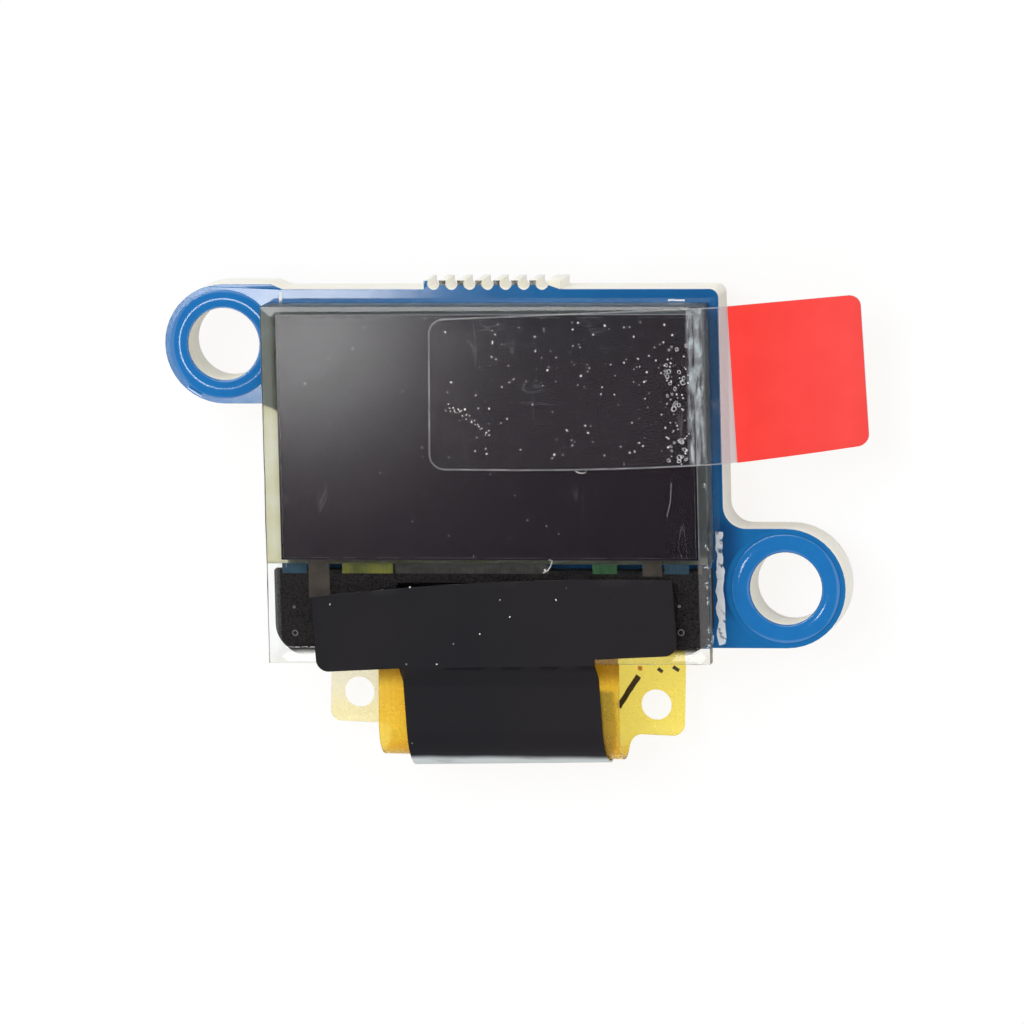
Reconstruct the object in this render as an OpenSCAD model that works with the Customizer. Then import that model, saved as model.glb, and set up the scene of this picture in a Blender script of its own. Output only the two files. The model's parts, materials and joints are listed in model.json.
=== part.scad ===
// A small emissive display module: a glass panel on a board with two screw ears,
// its flexible circuit folded under the board's bottom edge. Millimetres.
// +X runs to the right and +Y up as the display is read; +Z comes out of its face.
// The origin is midway between the two ear holes, on the back of the board.

/* [Glass panel] */
// Width of the front glass
glass_w = 14.5; // [12:0.1:18]
// Height of the front glass, ledge included
glass_h = 11.6; // [10:0.1:15]
// Thickness of the front glass
glass_t = 0.5; // [0.3:0.05:0.8]
// Height of the ledge that the cap glass leaves bare at the bottom
ledge_h = 3.2; // [2.6:0.05:4]
// Thickness of the cap glass behind the front glass
cap_t = 0.5; // [0.4:0.05:0.8]
// Depth of the cavity etched into the cap glass
cavity_d = 0.25; // [0.2:0.01:0.3]
// Thickness of the glue line between the two glasses
seal_t = 0.05; // [0.04:0.01:0.1]
// Width of the glue line round the cavity
seal_w = 0.7; // [0.4:0.05:1]
// Thickness of the light-emitting layers on the front glass
emitter_t = 0.03; // [0.01:0.005:0.035]
// Gap between the light-emitting layers and the glue line
emitter_gap = 0.2; // [0.1:0.05:0.5]
// Thickness of the drying sheet in the cavity
getter_t = 0.15; // [0.05:0.01:0.18]
// Gap from the drying sheet to the cavity's side walls
getter_gap = 1.2; // [0.3:0.1:1.8]

/* [Polarizer and film] */
// Bare glass left of the polarizer
pol_left = 0.53; // [0.1:0.01:1]
// Bare glass right of the polarizer
pol_right = 0.27; // [0.05:0.01:1]
// Bare glass above the polarizer
pol_top = 0.25; // [0.05:0.01:1]
// Distance from the cap glass's bottom edge up to the polarizer
pol_lift = 0.19; // [0:0.01:0.5]
// Thickness of the polarizer
pol_t = 0.15; // [0.1:0.01:0.25]
// Thickness of the clear protective film
film_t = 0.05; // [0.03:0.01:0.1]
// Bare polarizer round the protective film
film_inset = 0.08; // [0.02:0.01:0.3]

/* [Board] */
// How far the glass hangs over the board's left edge
over_left = 0.54; // [0:0.02:0.6]
// How far the glass hangs over the board's bottom edge
over_bottom = 0.37; // [0:0.01:0.8]
// Strip of board left bare right of the glass
rim_right = 0.32; // [0:0.02:2]
// Strip of board left bare above the glass
rim_top = 0.43; // [0:0.01:2]
// Thickness of the board
board_t = 1.6; // [1:0.1:2.4]
// Radius of the board's free corners
corner_r = 0.3; // [0.1:0.05:1]
// Distance from the board's side to the middle of its ear hole
ear_reach = 2; // [1.9:0.02:3.5]
// Width of an ear, which ends in a half circle
ear_w = 3.89; // [3.4:0.01:5]
// How far the left ear stands above the board's top edge
ear_rise = 0.17; // [0:0.01:0.5]
// Length of the ramp from the left ear down to the top edge
ramp_l = 0.4; // [0.2:0.05:1.5]
// Diameter of an ear hole, clear of an M2 screw
hole_d = 2.35; // [2.2:0.05:2.6]
// Radius of the hollow corner between an ear and the board
neck_r = 0.72; // [0.3:0.02:1.2]
// Thickness of the double-sided tape between board and panel
mount_tape_t = 0.1; // [0.05:0.01:0.2]
// Distance from the panel's edge to the double-sided tape
mount_tape_inset = 0.5; // [0.1:0.05:1.5]

/* [Break-off tab] */
// Diameter of the holes drilled along the break line
bite_d = 0.4; // [0.3:0.01:0.45]
// Spacing of the holes
bite_pitch = 0.593; // [0.5:0.001:0.8]
// Number of holes
bite_count = 7; // [3:1:9]
// Place of the row, right of the board's middle
bite_x = -0.4; // [-1.5:0.05:1.5]
// Length of the broken stubs outside the board's edge
stub_l = 0.28; // [0.1:0.01:0.35]
// Width of the tab left of the first hole
tab_left = 0.12; // [0.05:0.01:0.5]
// Width of the tab right of the last hole
tab_right = 0.42; // [0.05:0.01:0.6]

/* [Flexible circuit] */
// Width of the strip that is folded
flex_w = 7.9; // [6.6:0.1:9]
// Thickness of the flexible circuit
flex_t = 0.1; // [0.06:0.01:0.14]
// Length bonded to the ledge of the front glass
bond_l = 1.1; // [0.7:0.05:1.3]
// Distance from the glass's bottom edge down to the outside of the fold
fold_reach = 3.27; // [2.6:0.01:5]
// Angle by which the fold is out of square
fold_skew = -1.1; // [-2:0.1:2]
// Place of the strip's middle, right of the panel's middle
fold_x = 0.15; // [-0.5:0.05:0.5]
// Width of the tail behind the board
tail_w = 11.7; // [10.6:0.1:14]
// Place of the tail's middle, right of the strip's
tail_x = -0.17; // [-0.4:0.01:0.4]
// Distance from the outside of the fold to the tail's shoulders
shoulder = 0.75; // [0.4:0.05:1.1]
// Radius of the tail's outer corners
tail_corner_r = 0.34; // [0.1:0.02:0.6]
// Radius of the hollow corners between strip and tail
tail_neck_r = 0.36; // [0.1:0.02:0.38]
// Diameter of the two alignment holes in the tail
peg_hole_d = 1; // [0.6:0.05:1.2]
// Distance from a shoulder to its alignment hole's middle
peg_hole_up = 0.97; // [0.8:0.01:2]
// Distance from the tail's side to its alignment hole's middle
peg_hole_in = 0.94; // [0.8:0.01:1.1]
// Length of tail that lies on the back of the board
tail_lap = 1.75; // [1.4:0.05:2.5]
// Number of soldered contacts
pin_count = 14; // [8:1:16]
// Spacing of the contacts
pin_pitch = 0.62; // [0.5:0.01:0.66]
// Width of a contact
pin_w = 0.34; // [0.2:0.01:0.4]
// Length of solder on the tail
pin_l = 1; // [0.5:0.05:1.3]
// Length of solder on the board past the tail's end
pin_toe = 0.3; // [0.1:0.02:0.5]
// Height of the solder on the tail
pin_h = 0.08; // [0.04:0.01:0.12]

/* [Driver chip and foam] */
// Length of the driver chip
chip_l = 6; // [4:0.1:7]
// Width of the driver chip
chip_w = 0.9; // [0.6:0.05:1]
// Thickness of the driver chip
chip_t = 0.3; // [0.2:0.01:0.4]
// Distance from the cap glass's bottom edge to the chip
chip_gap = 0.65; // [0.5:0.05:0.7]
// Distance from the cap glass's bottom edge to the black foam
foam_gap = 0.22; // [0.05:0.01:0.4]
// Distance from the glass's bottom edge up to the foam
foam_up = 0.43; // [0.38:0.01:0.6]
// Distance from the glass's left edge to the foam
foam_left = 0.2; // [0.05:0.01:1]
// Distance from the glass's right edge to the foam
foam_right = 0.05; // [0.05:0.01:1]
// Radius of the foam's bottom corners
foam_r = 1; // [0.3:0.05:1.1]
// Clearance of the foam round the chip and the flexible circuit
foam_clear = 0.04; // [0.02:0.01:0.1]

/* [Black tape] */
// Width of the tape's bar across the ledge
bar_w = 11.87; // [8.6:0.01:13]
// Height of the bar at its ends
bar_h = 2.45; // [1.8:0.01:2.6]
// Extra height of the bar in its middle
bar_bow = 0.21; // [0.05:0.01:0.24]
// Radius of the bar's corners
bar_r = 0.4; // [0.1:0.02:0.6]
// Width of the leg that goes round the fold
leg_w = 6.43; // [4:0.01:6.5]
// Angle by which the tape was laid crooked
tape_turn = 2.8; // [0:0.1:3.5]
// Angle by which the tape's turn round the fold is out of square
tape_skew = 0.9; // [-1:0.1:1]
// Place of the tape, right of the panel's middle
tape_x = 0.26; // [0:0.01:0.4]
// Thickness of the tape
tape_t = 0.06; // [0.04:0.01:0.1]
// How far the tape runs on past the glass's edge before it slopes down
tape_run = 0.1; // [0.08:0.01:0.3]
// Length of the slope from the glass's level down to the flexible circuit
tape_slope = 0.5; // [0.4:0.05:1]
// Slack between the tape and the outside of the fold
tape_slack = 0.17; // [0.12:0.01:0.4]
// Length of tape behind the fold
tape_end = 0.9; // [0.3:0.05:1.5]

/* [Pull label] */
// Length of the label seen from the front, grip included
label_l = 13.9; // [13:0.1:16]
// Length of the red grip seen from the front
grip_l = 4; // [3:0.1:5]
// Width of the label
label_w = 4.9; // [3.5:0.05:6]
// Thickness of the clear label
label_t = 0.06; // [0.04:0.01:0.1]
// Extra width of the label's bottom edge in its middle
label_bow = 0.2; // [0.05:0.01:0.4]
// Angle by which the label was laid crooked
label_turn = 2.3; // [0:0.1:4]
// Distance from the panel's right edge to the label's left end
label_in = 8.96; // [7:0.01:11]
// Distance from the panel's top edge to the middle of the label's left end
label_down = 2.83; // [2.6:0.01:4.5]
// How far the label's left end leans out of square
label_lean = 0.15; // [0:0.01:0.3]
// Radius of the label's left corners
label_r = 0.5; // [0.2:0.05:1]
// Radius of the label's right corners
grip_r = 0.36; // [0.1:0.02:1]
// Radius of the bend at the panel's edge
droop_r = 2; // [1:0.1:3]
// Angle by which the grip droops
droop = 24.7; // [5:0.1:30]
// Thickness of the red grip
grip_t = 0.06; // [0.04:0.01:0.1]

/* [Parts on the back] */
// Height of the tallest parts, on which the module lies
tall_h = 1.1; // [0.9:0.05:1.3]
// Length of a large capacitor
big_cap_l = 2; // [1.6:0.05:2.4]
// Width of a large capacitor
big_cap_w = 1.25; // [0.8:0.05:1.5]
// Distance from the board's sides to a tall part's middle
tall_in = 1.25; // [1.1:0.05:1.6]
// Distance from the board's top edge to the upper tall parts' middle
tall_down = 2; // [1.75:0.05:2.5]
// Distance from the tail's end to the lower tall parts' middle
tall_up = 1.9; // [1.75:0.05:2.4]
// Length of a small chip part
chip_part_l = 1; // [0.8:0.05:1.2]
// Width of a small chip part
chip_part_w = 0.5; // [0.4:0.02:0.6]
// Height of a small capacitor
small_cap_h = 0.5; // [0.3:0.02:0.6]
// Height of a resistor
resistor_h = 0.35; // [0.2:0.01:0.5]
// Length of a metal end on a large capacitor
big_end_l = 0.4; // [0.25:0.05:0.6]
// Length of a metal end on a small chip part
end_l = 0.25; // [0.15:0.01:0.3]
// Step from a chip part's metal ends down to its body
end_step = 0.02; // [0.01:0.005:0.04]
// Number of small capacitors
small_cap_count = 4; // [2:1:4]
// Spacing of the small capacitors
small_cap_pitch = 2.1; // [1.2:0.05:2.2]
// Distance from the tail's end to the small capacitors' middle
small_cap_up = 1.3; // [1.15:0.05:2.6]
// Length of the regulator's moulded body
reg_l = 2.9; // [2.4:0.05:3]
// Width of the regulator's moulded body
reg_w = 1.3; // [1:0.05:1.5]
// Width of the regulator over its leads
reg_span = 2.4; // [2.1:0.05:2.4]
// Gap between the regulator's body and the board
reg_gap = 0.08; // [0.03:0.01:0.15]
// Spacing of the two leads on one side
lead_pitch = 1.9; // [1.6:0.05:2]
// Width of a lead
lead_w = 0.4; // [0.3:0.02:0.5]
// Thickness of a lead
lead_t = 0.12; // [0.08:0.01:0.2]
// Number of pads for wires
pad_count = 4; // [2:1:4]
// Spacing of the pads, and of the resistors below them
pad_pitch = 2; // [1.6:0.05:2.1]
// Width of a pad
pad_w = 1.2; // [0.8:0.05:1.4]
// Height of a pad
pad_h = 1.6; // [1:0.05:2]
// Thickness of a pad
pad_t = 0.05; // [0.03:0.01:0.1]
// Height of the solder on a pad
pad_solder_h = 0.2; // [0.1:0.01:0.3]
// Distance from the board's top edge to the pads
pad_down = 0.35; // [0.3:0.05:1]
// Distance from the pads to the resistors
pad_gap = 0.7; // [0.4:0.05:1]

/* [Hidden] */
$fn = 48;
cut = 0.5;            // how far a cutting shape passes the surface it cuts
flush = 0.02;         // overlap where two shapes of one piece join

// Heights of the layers, from the back of the board up
z_tape = board_t;
z_cap = z_tape + mount_tape_t;
z_seal = z_cap + cap_t;
z_glass = z_seal + seal_t;
z_front = z_glass + glass_t;
z_film = z_front + pol_t;
z_label = z_film + film_t;

// Edges of the board, about the middle of the two ear holes
board_w = glass_w - over_left + rim_right;
board_h = glass_h - over_bottom + rim_top;
hole_x = board_w / 2 + ear_reach;
hole_y = (board_h + ear_rise - ear_w) / 2;
board_left = -board_w / 2;
board_right = board_w / 2;
board_bottom = -hole_y - ear_w / 2;
board_top = board_bottom + board_h;

// Edges of the panel
glass_left = board_left - over_left;
glass_right = board_right - rim_right;
glass_bottom = board_bottom - over_bottom;
glass_top = board_top - rim_top;
cap_bottom = glass_bottom + ledge_h;
panel_x = (glass_left + glass_right) / 2;

// The fold: its outside radius and the middle of its outermost line
fold_r = (z_glass + flex_t) / 2;
fold_z = z_glass - fold_r;
fold_at = [panel_x + fold_x, glass_bottom - fold_reach];
tail_l = board_bottom - fold_at.y + tail_lap;
tail_skew = 2 * fold_skew;
tail_end = fold_at.y + tail_l;
tail_drop = tan(abs(tail_skew)) * tail_w / 2;

// Small chip parts lie this far apart from the row's middle
function row_x(i, count, pitch) = (i - (count - 1) / 2) * pitch;

// Each place on the back: [x, y, angle]
big_cap_places = [
    [board_left + tall_in, board_top - tall_down, 90],
    [board_left + tall_in, tail_end + tail_drop + tall_up, 90],
    [board_right - tall_in, tail_end + tail_drop + tall_up, 90]
];
small_cap_places = [
    for (i = [0:small_cap_count - 1])
        [panel_x + row_x(i, small_cap_count, small_cap_pitch), tail_end + tail_drop + small_cap_up, 90]
];
resistor_y = board_top - pad_down - pad_h - pad_gap - chip_part_l / 2;
resistor_places = [
    for (i = [0:pad_count - 1]) [panel_x + row_x(i, pad_count, pad_pitch), resistor_y, 90]
];
reg_place = [board_right - tall_in - (reg_span - big_cap_w) / 2, board_top - tall_down, 90];

// ---- Shared shapes ----

// A rectangle between two corners
module rect(low, high) {
    translate(low) square(high - low);
}

// A rectangle with four round corners, its middle at the origin
module round_rect(size, r) {
    square([size.x - 2 * r, size.y], center = true);
    square([size.x, size.y - 2 * r], center = true);
    for (sx = [-1, 1], sy = [-1, 1])
        translate([sx * (size.x / 2 - r), sy * (size.y / 2 - r)]) circle(r);
}

// The web between a corner at the origin and an arc that opens towards +X +Y
module corner_web(r) {
    difference() {
        translate([-flush, -flush]) square(r + flush);
        translate([r, r]) circle(r);
    }
}

// A flat layer from one height up
module layer(z, t) {
    translate([0, 0, z]) linear_extrude(t) children();
}

// Stretches a profile drawn in (Y, Z) along X, its middle at the origin
module across(w) {
    rotate([90, 0, 90]) linear_extrude(w, center = true) children();
}

// Points between a and b on an arc that bows out to the right of the line from a to b
function bowed(a, b, bow, n = 12) =
    let (c = norm(b - a), r = c * c / (8 * bow) + bow / 2, half = asin(c / (2 * r)),
         along = (b - a) / c, out = [along.y, -along.x], mid = (a + b) / 2 + out * (bow - r))
    [for (i = [1:n - 1]) let (t = half * (2 * i / n - 1)) mid + r * (along * sin(t) + out * cos(t))];

// Points that round the corner p between its two neighbours
function rounded(before, p, after, r, n = 6) =
    let (u = (before - p) / norm(before - p), v = (after - p) / norm(after - p),
         half = acos(u * v) / 2, c = p + (u + v) / norm(u + v) * r / sin(half),
         a = p + u * r / tan(half) - c, b = p + v * r / tan(half) - c)
    [for (i = [0:n]) let (w = a * (1 - i / n) + b * i / n) c + w / norm(w) * r];

// ---- Glass panel ----

module panel_outline(bottom) {
    rect([glass_left, bottom], [glass_right, glass_top]);
}

module inside_seal(gap) {
    rect([glass_left + seal_w + gap, cap_bottom + seal_w + gap],
         [glass_right - seal_w - gap, glass_top - seal_w - gap]);
}

module mounting_tape() {
    color("white") layer(z_tape, mount_tape_t)
        rect([board_left + mount_tape_inset, cap_bottom + mount_tape_inset],
             [glass_right - mount_tape_inset, glass_top - mount_tape_inset]);
}

module cap_glass() {
    color("lightcyan", 0.6) difference() {
        layer(z_cap, cap_t) panel_outline(cap_bottom);
        layer(z_seal - cavity_d, cavity_d + cut) inside_seal(0);
    }
}

module getter_sheet() {
    color("gainsboro") layer(z_seal - cavity_d, getter_t) inside_seal(getter_gap);
}

module seal_frame() {
    color("khaki") layer(z_seal, seal_t) difference() {
        panel_outline(cap_bottom);
        inside_seal(0);
    }
}

module emitter_layers() {
    color("dimgray") layer(z_glass - emitter_t, emitter_t) inside_seal(emitter_gap);
}

module front_glass() {
    color("lightcyan", 0.6) layer(z_glass, glass_t) panel_outline(glass_bottom);
}

module polarizer_outline(inset) {
    rect([glass_left + pol_left + inset, cap_bottom + pol_lift + inset],
         [glass_right - pol_right - inset, glass_top - pol_top - inset]);
}

module polarizer() {
    color("#1c1720") layer(z_front, pol_t) polarizer_outline(0);
}

module protective_film() {
    color("#3a3740", 0.5) layer(z_film, film_t) polarizer_outline(film_inset);
}

module driver_chip() {
    chip_top = cap_bottom - chip_gap;
    color("#30302f") layer(z_glass - chip_t, chip_t)
        rect([panel_x - chip_l / 2, chip_top - chip_w], [panel_x + chip_l / 2, chip_top]);
}

// ---- Pull label ----

// The label seen from the front, the middle of its left end at the origin
module label_outline() {
    h = label_w / 2;
    bottom_left = [-label_lean, -h];
    top_left = [label_lean, h];
    top_right = [label_l, h];
    bottom_right = [label_l, -h];
    polygon(concat(
        rounded(top_left, bottom_left, bottom_right, label_r),
        bowed([label_r, -h], [label_l - grip_r, -h], label_bow),
        rounded(bottom_left, bottom_right, top_right, grip_r),
        rounded(bottom_right, top_right, top_left, grip_r),
        rounded(top_right, top_left, bottom_left, label_r)
    ));
}

// A film in (X, Z), its bend starting at the origin: it lies flat on the left,
// bends down and then droops straight. The gap is its height above the label's back.
module droop_profile(gap, t) {
    rect([-label_l, gap], [0, gap + t]);
    intersection() {
        translate([0, -droop_r]) difference() {
            circle(droop_r + gap + t);
            circle(droop_r + gap);
        }
        translate([0, -droop_r])
            polygon([[0, 0], 2 * droop_r * [sin(droop), cos(droop)], [0, 2 * droop_r]]);
    }
    translate(droop_r * [sin(droop), cos(droop) - 1]) rotate(-droop)
        translate([0, gap]) square([label_l, t]);
}

// The part of a drooping film that the label's outline right of x holds
module label_film(gap, t, x) {
    intersection() {
        translate([glass_right, 0, z_label]) rotate([90, 0, 0])
            linear_extrude(4 * glass_h, center = true) droop_profile(gap, t);
        translate([glass_right - label_in, glass_top - label_down, 0]) rotate(label_turn)
            linear_extrude(2 * z_label) intersection() {
                label_outline();
                rect([x, -label_w], [2 * label_l, label_w]);
            }
    }
}

module pull_label() {
    color("whitesmoke", 0.4) label_film(0, label_t, -label_l);
}

module pull_grip() {
    color("#ff4b44") label_film(label_t, grip_t, label_l - grip_l);
}

// ---- Board ----

// An arm that ends in a half circle round its hole, on the right and at the bottom.
// Its lower edge ramps up to the board's where it stands out below that by rise.
module ear(rise) {
    low = -hole_y - ear_w / 2;
    high = -hole_y + ear_w / 2;
    translate([hole_x, -hole_y]) circle(d = ear_w);
    polygon([
        [board_right - ear_w, low + rise], [board_right, low + rise], [board_right + ramp_l, low],
        [hole_x, low], [hole_x, high], [board_right - ear_w, high]
    ]);
    translate([board_right, high]) corner_web(neck_r);
}

// The stub of the break-off tab, before its row of holes is cut
module tab() {
    reach = row_x(bite_count - 1, bite_count, bite_pitch) + bite_d / 2;
    rect([bite_x - reach - tab_left, board_top - bite_d], [bite_x + reach + tab_right, board_top + stub_l]);
}

module board_outline() {
    difference() {
        union() {
            rect([board_left, board_bottom], [board_right, board_top]);
            tab();
        }
        translate([board_right, board_top]) rotate(180) corner_web(corner_r);
        translate([board_left, board_bottom]) corner_web(corner_r);
        for (i = [0:bite_count - 1])
            translate([bite_x + row_x(i, bite_count, bite_pitch), board_top + bite_d / 2 - flush])
                circle(d = bite_d);
    }
    ear(0);
    rotate(180) ear(ear_rise);
}

module circuit_board() {
    color("#1f5f9e") difference() {
        linear_extrude(board_t) board_outline();
        for (s = [-1, 1])
            translate([s * hole_x, -s * hole_y, -cut]) cylinder(d = hole_d, h = board_t + 2 * cut);
    }
}

module ledge_foam() {
    left = glass_left + foam_left;
    right = glass_right - foam_right;
    low = glass_bottom + foam_up;
    high = cap_bottom - foam_gap;
    chip_top = cap_bottom - chip_gap;
    color("#151515") difference() {
        layer(z_tape, z_glass - z_tape) difference() {
            rect([left, low], [right, high]);
            translate([left, low]) corner_web(foam_r);
            translate([right, low]) rotate(90) corner_web(foam_r);
        }
        layer(z_glass - chip_t - foam_clear, chip_t + cut)
            rect([panel_x - chip_l / 2 - foam_clear, chip_top - chip_w - foam_clear],
                 [panel_x + chip_l / 2 + foam_clear, chip_top + foam_clear]);
        in_fold() across(flex_w + 2 * foam_clear)
            rect([0, z_glass - flex_t - foam_clear], [fold_reach + bond_l + foam_clear, z_glass + cut]);
    }
}

// ---- Flexible circuit and black tape ----

// Places shapes about the fold: its outermost line on X, the part towards +Y
module in_fold() {
    translate([fold_at.x, fold_at.y, 0]) rotate(fold_skew) children();
}

// Places shapes about the tail, which a crooked fold turns twice as far
module in_tail() {
    in_fold() rotate(fold_skew) translate([tail_x, 0, 0]) children();
}

// A sheet in (Y, Z) that comes in at the front, turns half round and goes back behind.
// r is the inside radius of the turn and y the place of its middle.
module fold_profile(y, r, t, front, back) {
    difference() {
        translate([y, fold_z]) circle(r + t);
        translate([y, fold_z]) circle(r);
        rect([y, fold_z - 2 * r], [y + 2 * r, fold_z + 2 * r]);
    }
    rect([y, fold_z + r], [front, fold_z + r + t]);
    rect([y, fold_z - r - t], [back, fold_z - r]);
}

module flex_profile(back) {
    fold_profile(fold_r, fold_r - flex_t, flex_t, fold_reach + bond_l, back);
}

module tail_outline() {
    translate([0, (shoulder + tail_l) / 2]) round_rect([tail_w, tail_l - shoulder], tail_corner_r);
    translate([flex_w / 2 - tail_x, shoulder]) rotate(-90) corner_web(tail_neck_r);
    translate([-flex_w / 2 - tail_x, shoulder]) rotate(180) corner_web(tail_neck_r);
}

module flex_circuit() {
    color("#f2b21c") difference() {
        union() {
            in_fold() across(flex_w) flex_profile((shoulder + tail_l) / 2);
            intersection() {
                in_fold() across(2 * tail_w) flex_profile(tail_l + cut);
                in_tail() layer(-cut, fold_z + cut) tail_outline();
            }
        }
        for (s = [-1, 1])
            in_tail() translate([s * (tail_w / 2 - peg_hole_in), shoulder + peg_hole_up, -flex_t - cut])
                cylinder(d = peg_hole_d, h = flex_t + 2 * cut);
    }
}

// One soldered contact from the side: over the tail's end and down to the board
module contact_profile() {
    polygon([
        [tail_l - pin_l, -flex_t], [tail_l - pin_l * 4 / 5, -flex_t - pin_h],
        [tail_l - pin_l / 5, -flex_t - pin_h], [tail_l + pin_toe / 2, -flex_t],
        [tail_l + pin_toe, 0], [tail_l, 0], [tail_l, -flex_t]
    ]);
}

module flex_solder() {
    color("silver") for (i = [0:pin_count - 1])
        in_tail() translate([row_x(i, pin_count, pin_pitch), 0, 0]) across(pin_w) contact_profile();
}

// Places shapes about the tape: the middle of the glass's bottom edge at the origin
module in_tape() {
    translate([panel_x + tape_x, glass_bottom, 0]) rotate(tape_turn) children();
}

module bar_outline() {
    w = bar_w / 2;
    polygon(concat(
        rounded([-w, bar_h], [-w, 0], [w, 0], bar_r),
        rounded([-w, 0], [w, 0], [w, bar_h], bar_r),
        [[w, bar_h]], bowed([w, bar_h], [-w, bar_h], bar_bow), [[-w, bar_h]]
    ));
}

module leg_outline() {
    rect([-leg_w / 2, -2 * fold_reach], [leg_w / 2, bar_h]);
}

// The leg from the side: level past the glass's edge, down to the flexible circuit
// and round its fold, with the fold's outermost line at the origin
module leg_profile() {
    turn = fold_r - tape_slack;
    level_end = fold_reach - tape_run;
    slope_end = level_end - tape_slope;
    rect([level_end, z_front], [fold_reach + bar_h / 2, z_front + tape_t]);
    polygon([
        [slope_end, z_glass], [level_end, z_front],
        [level_end, z_front + tape_t], [slope_end, z_glass + tape_t]
    ]);
    fold_profile(turn, fold_r, tape_t, slope_end, turn + tape_end);
}

module black_tape() {
    color("#17171a") {
        in_tape() layer(z_front, tape_t) bar_outline();
        intersection() {
            in_tape() linear_extrude(4 * z_front, center = true) leg_outline();
            translate(fold_at) rotate(tape_skew) across(2 * bar_w) leg_profile();
        }
    }
}

// ---- Parts on the back ----

module place_part(place) {
    translate([place.x, place.y, 0]) rotate(place.z) children();
}

// A ceramic chip along X, hung below the board, with a metal cap on each end
module chip_part(l, w, h, end) {
    translate([0, 0, -h / 2]) {
        for (s = [-1, 1]) translate([s * (l - end) / 2, 0, 0]) across(end) round_rect([w, h], end_step * 2);
        across(l - 2 * end + 2 * flush) round_rect([w - 2 * end_step, h - 2 * end_step], end_step);
    }
}

// The solder at both ends of a chip part
module end_solder(l, w, h) {
    foot = h * 0.45;
    for (s = [0, 180]) rotate(s) translate([l / 2, 0, 0]) rotate([90, 0, 0])
        linear_extrude(w * 0.9, center = true)
            polygon([[0, 0], [0, -h * 0.6], [foot * 0.35, -h * 0.25], [foot, 0]]);
}

module large_capacitor(i) {
    color("tan") place_part(big_cap_places[i]) chip_part(big_cap_l, big_cap_w, tall_h, big_end_l);
}

module small_capacitor(i) {
    color("tan") place_part(small_cap_places[i]) chip_part(chip_part_l, chip_part_w, small_cap_h, end_l);
}

module resistor(i) {
    color("#222222") place_part(resistor_places[i]) chip_part(chip_part_l, chip_part_w, resistor_h, end_l);
}

module chip_solder() {
    color("silver") {
        for (p = big_cap_places) place_part(p) end_solder(big_cap_l, big_cap_w, tall_h);
        for (p = small_cap_places) place_part(p) end_solder(chip_part_l, chip_part_w, small_cap_h);
        for (p = resistor_places) place_part(p) end_solder(chip_part_l, chip_part_w, resistor_h);
    }
}

// A lead from the side: out of the body at half its height, down, and out along the board
module lead_profile() {
    half_h = -(tall_h + reg_gap) / 2;
    knee = reg_w / 2 + lead_t / 2;
    polygon([
        [reg_w / 4, half_h - lead_t / 2], [knee + lead_t, half_h - lead_t / 2], [knee + lead_t, -lead_t],
        [reg_span / 2, -lead_t], [reg_span / 2, 0], [knee, 0],
        [knee, half_h + lead_t / 2], [reg_w / 4, half_h + lead_t / 2]
    ]);
}

module regulator() {
    half_h = -(tall_h + reg_gap) / 2;
    draft = lead_t;
    color("#1b1b1b") place_part(reg_place) {
        across(reg_l) polygon([
            [-reg_w / 2, half_h], [-reg_w / 2 + draft, -tall_h], [reg_w / 2 - draft, -tall_h],
            [reg_w / 2, half_h], [reg_w / 2 - draft, -reg_gap], [-reg_w / 2 + draft, -reg_gap]
        ]);
        for (x = [-lead_pitch / 2, lead_pitch / 2]) translate([x, 0, 0]) across(lead_w) lead_profile();
        rotate(180) across(lead_w) lead_profile();
    }
}

module wire_pad(i) {
    half = [pad_w, pad_h] / 2 - [pad_t, pad_t];
    dome_r = (half * half / pad_solder_h + pad_solder_h) / 2;
    color("silver")
        translate([panel_x + row_x(i, pad_count, pad_pitch), board_top - pad_down - pad_h / 2, 0]) {
            layer(-pad_t, pad_t) round_rect([pad_w, pad_h], pad_t * 2);
            intersection() {
                layer(-pad_t - pad_solder_h, pad_solder_h + pad_t / 2) round_rect(2 * half, pad_t);
                translate([0, 0, dome_r - pad_t - pad_solder_h]) sphere(dome_r);
            }
        }
}

// ---- The module ----

circuit_board();
mounting_tape();
cap_glass();
getter_sheet();
seal_frame();
emitter_layers();
front_glass();
polarizer();
protective_film();
pull_label();
pull_grip();
driver_chip();
ledge_foam();
flex_circuit();
flex_solder();
black_tape();
regulator();
chip_solder();
for (i = [0:pad_count - 1])
    wire_pad(i);
for (i = [0:len(big_cap_places) - 1])
    large_capacitor(i);
for (i = [0:small_cap_count - 1])
    small_capacitor(i);
for (i = [0:pad_count - 1])
    resistor(i);
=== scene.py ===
"""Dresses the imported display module: camera, studio, finishes and fine pieces.

Lengths that the classes hold are millimetres, and MM turns them into the frame's metres. Places come
from the frame's own boxes and mounts.
"""
import json
import logging
import math
import random
from contextlib import contextmanager
from dataclasses import dataclass, field
from enum import Enum
from functools import cache
from typing import Any, Callable, Iterator, Optional, Sequence

import bmesh
import bpy
from mathutils import Matrix, Vector, noise


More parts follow.
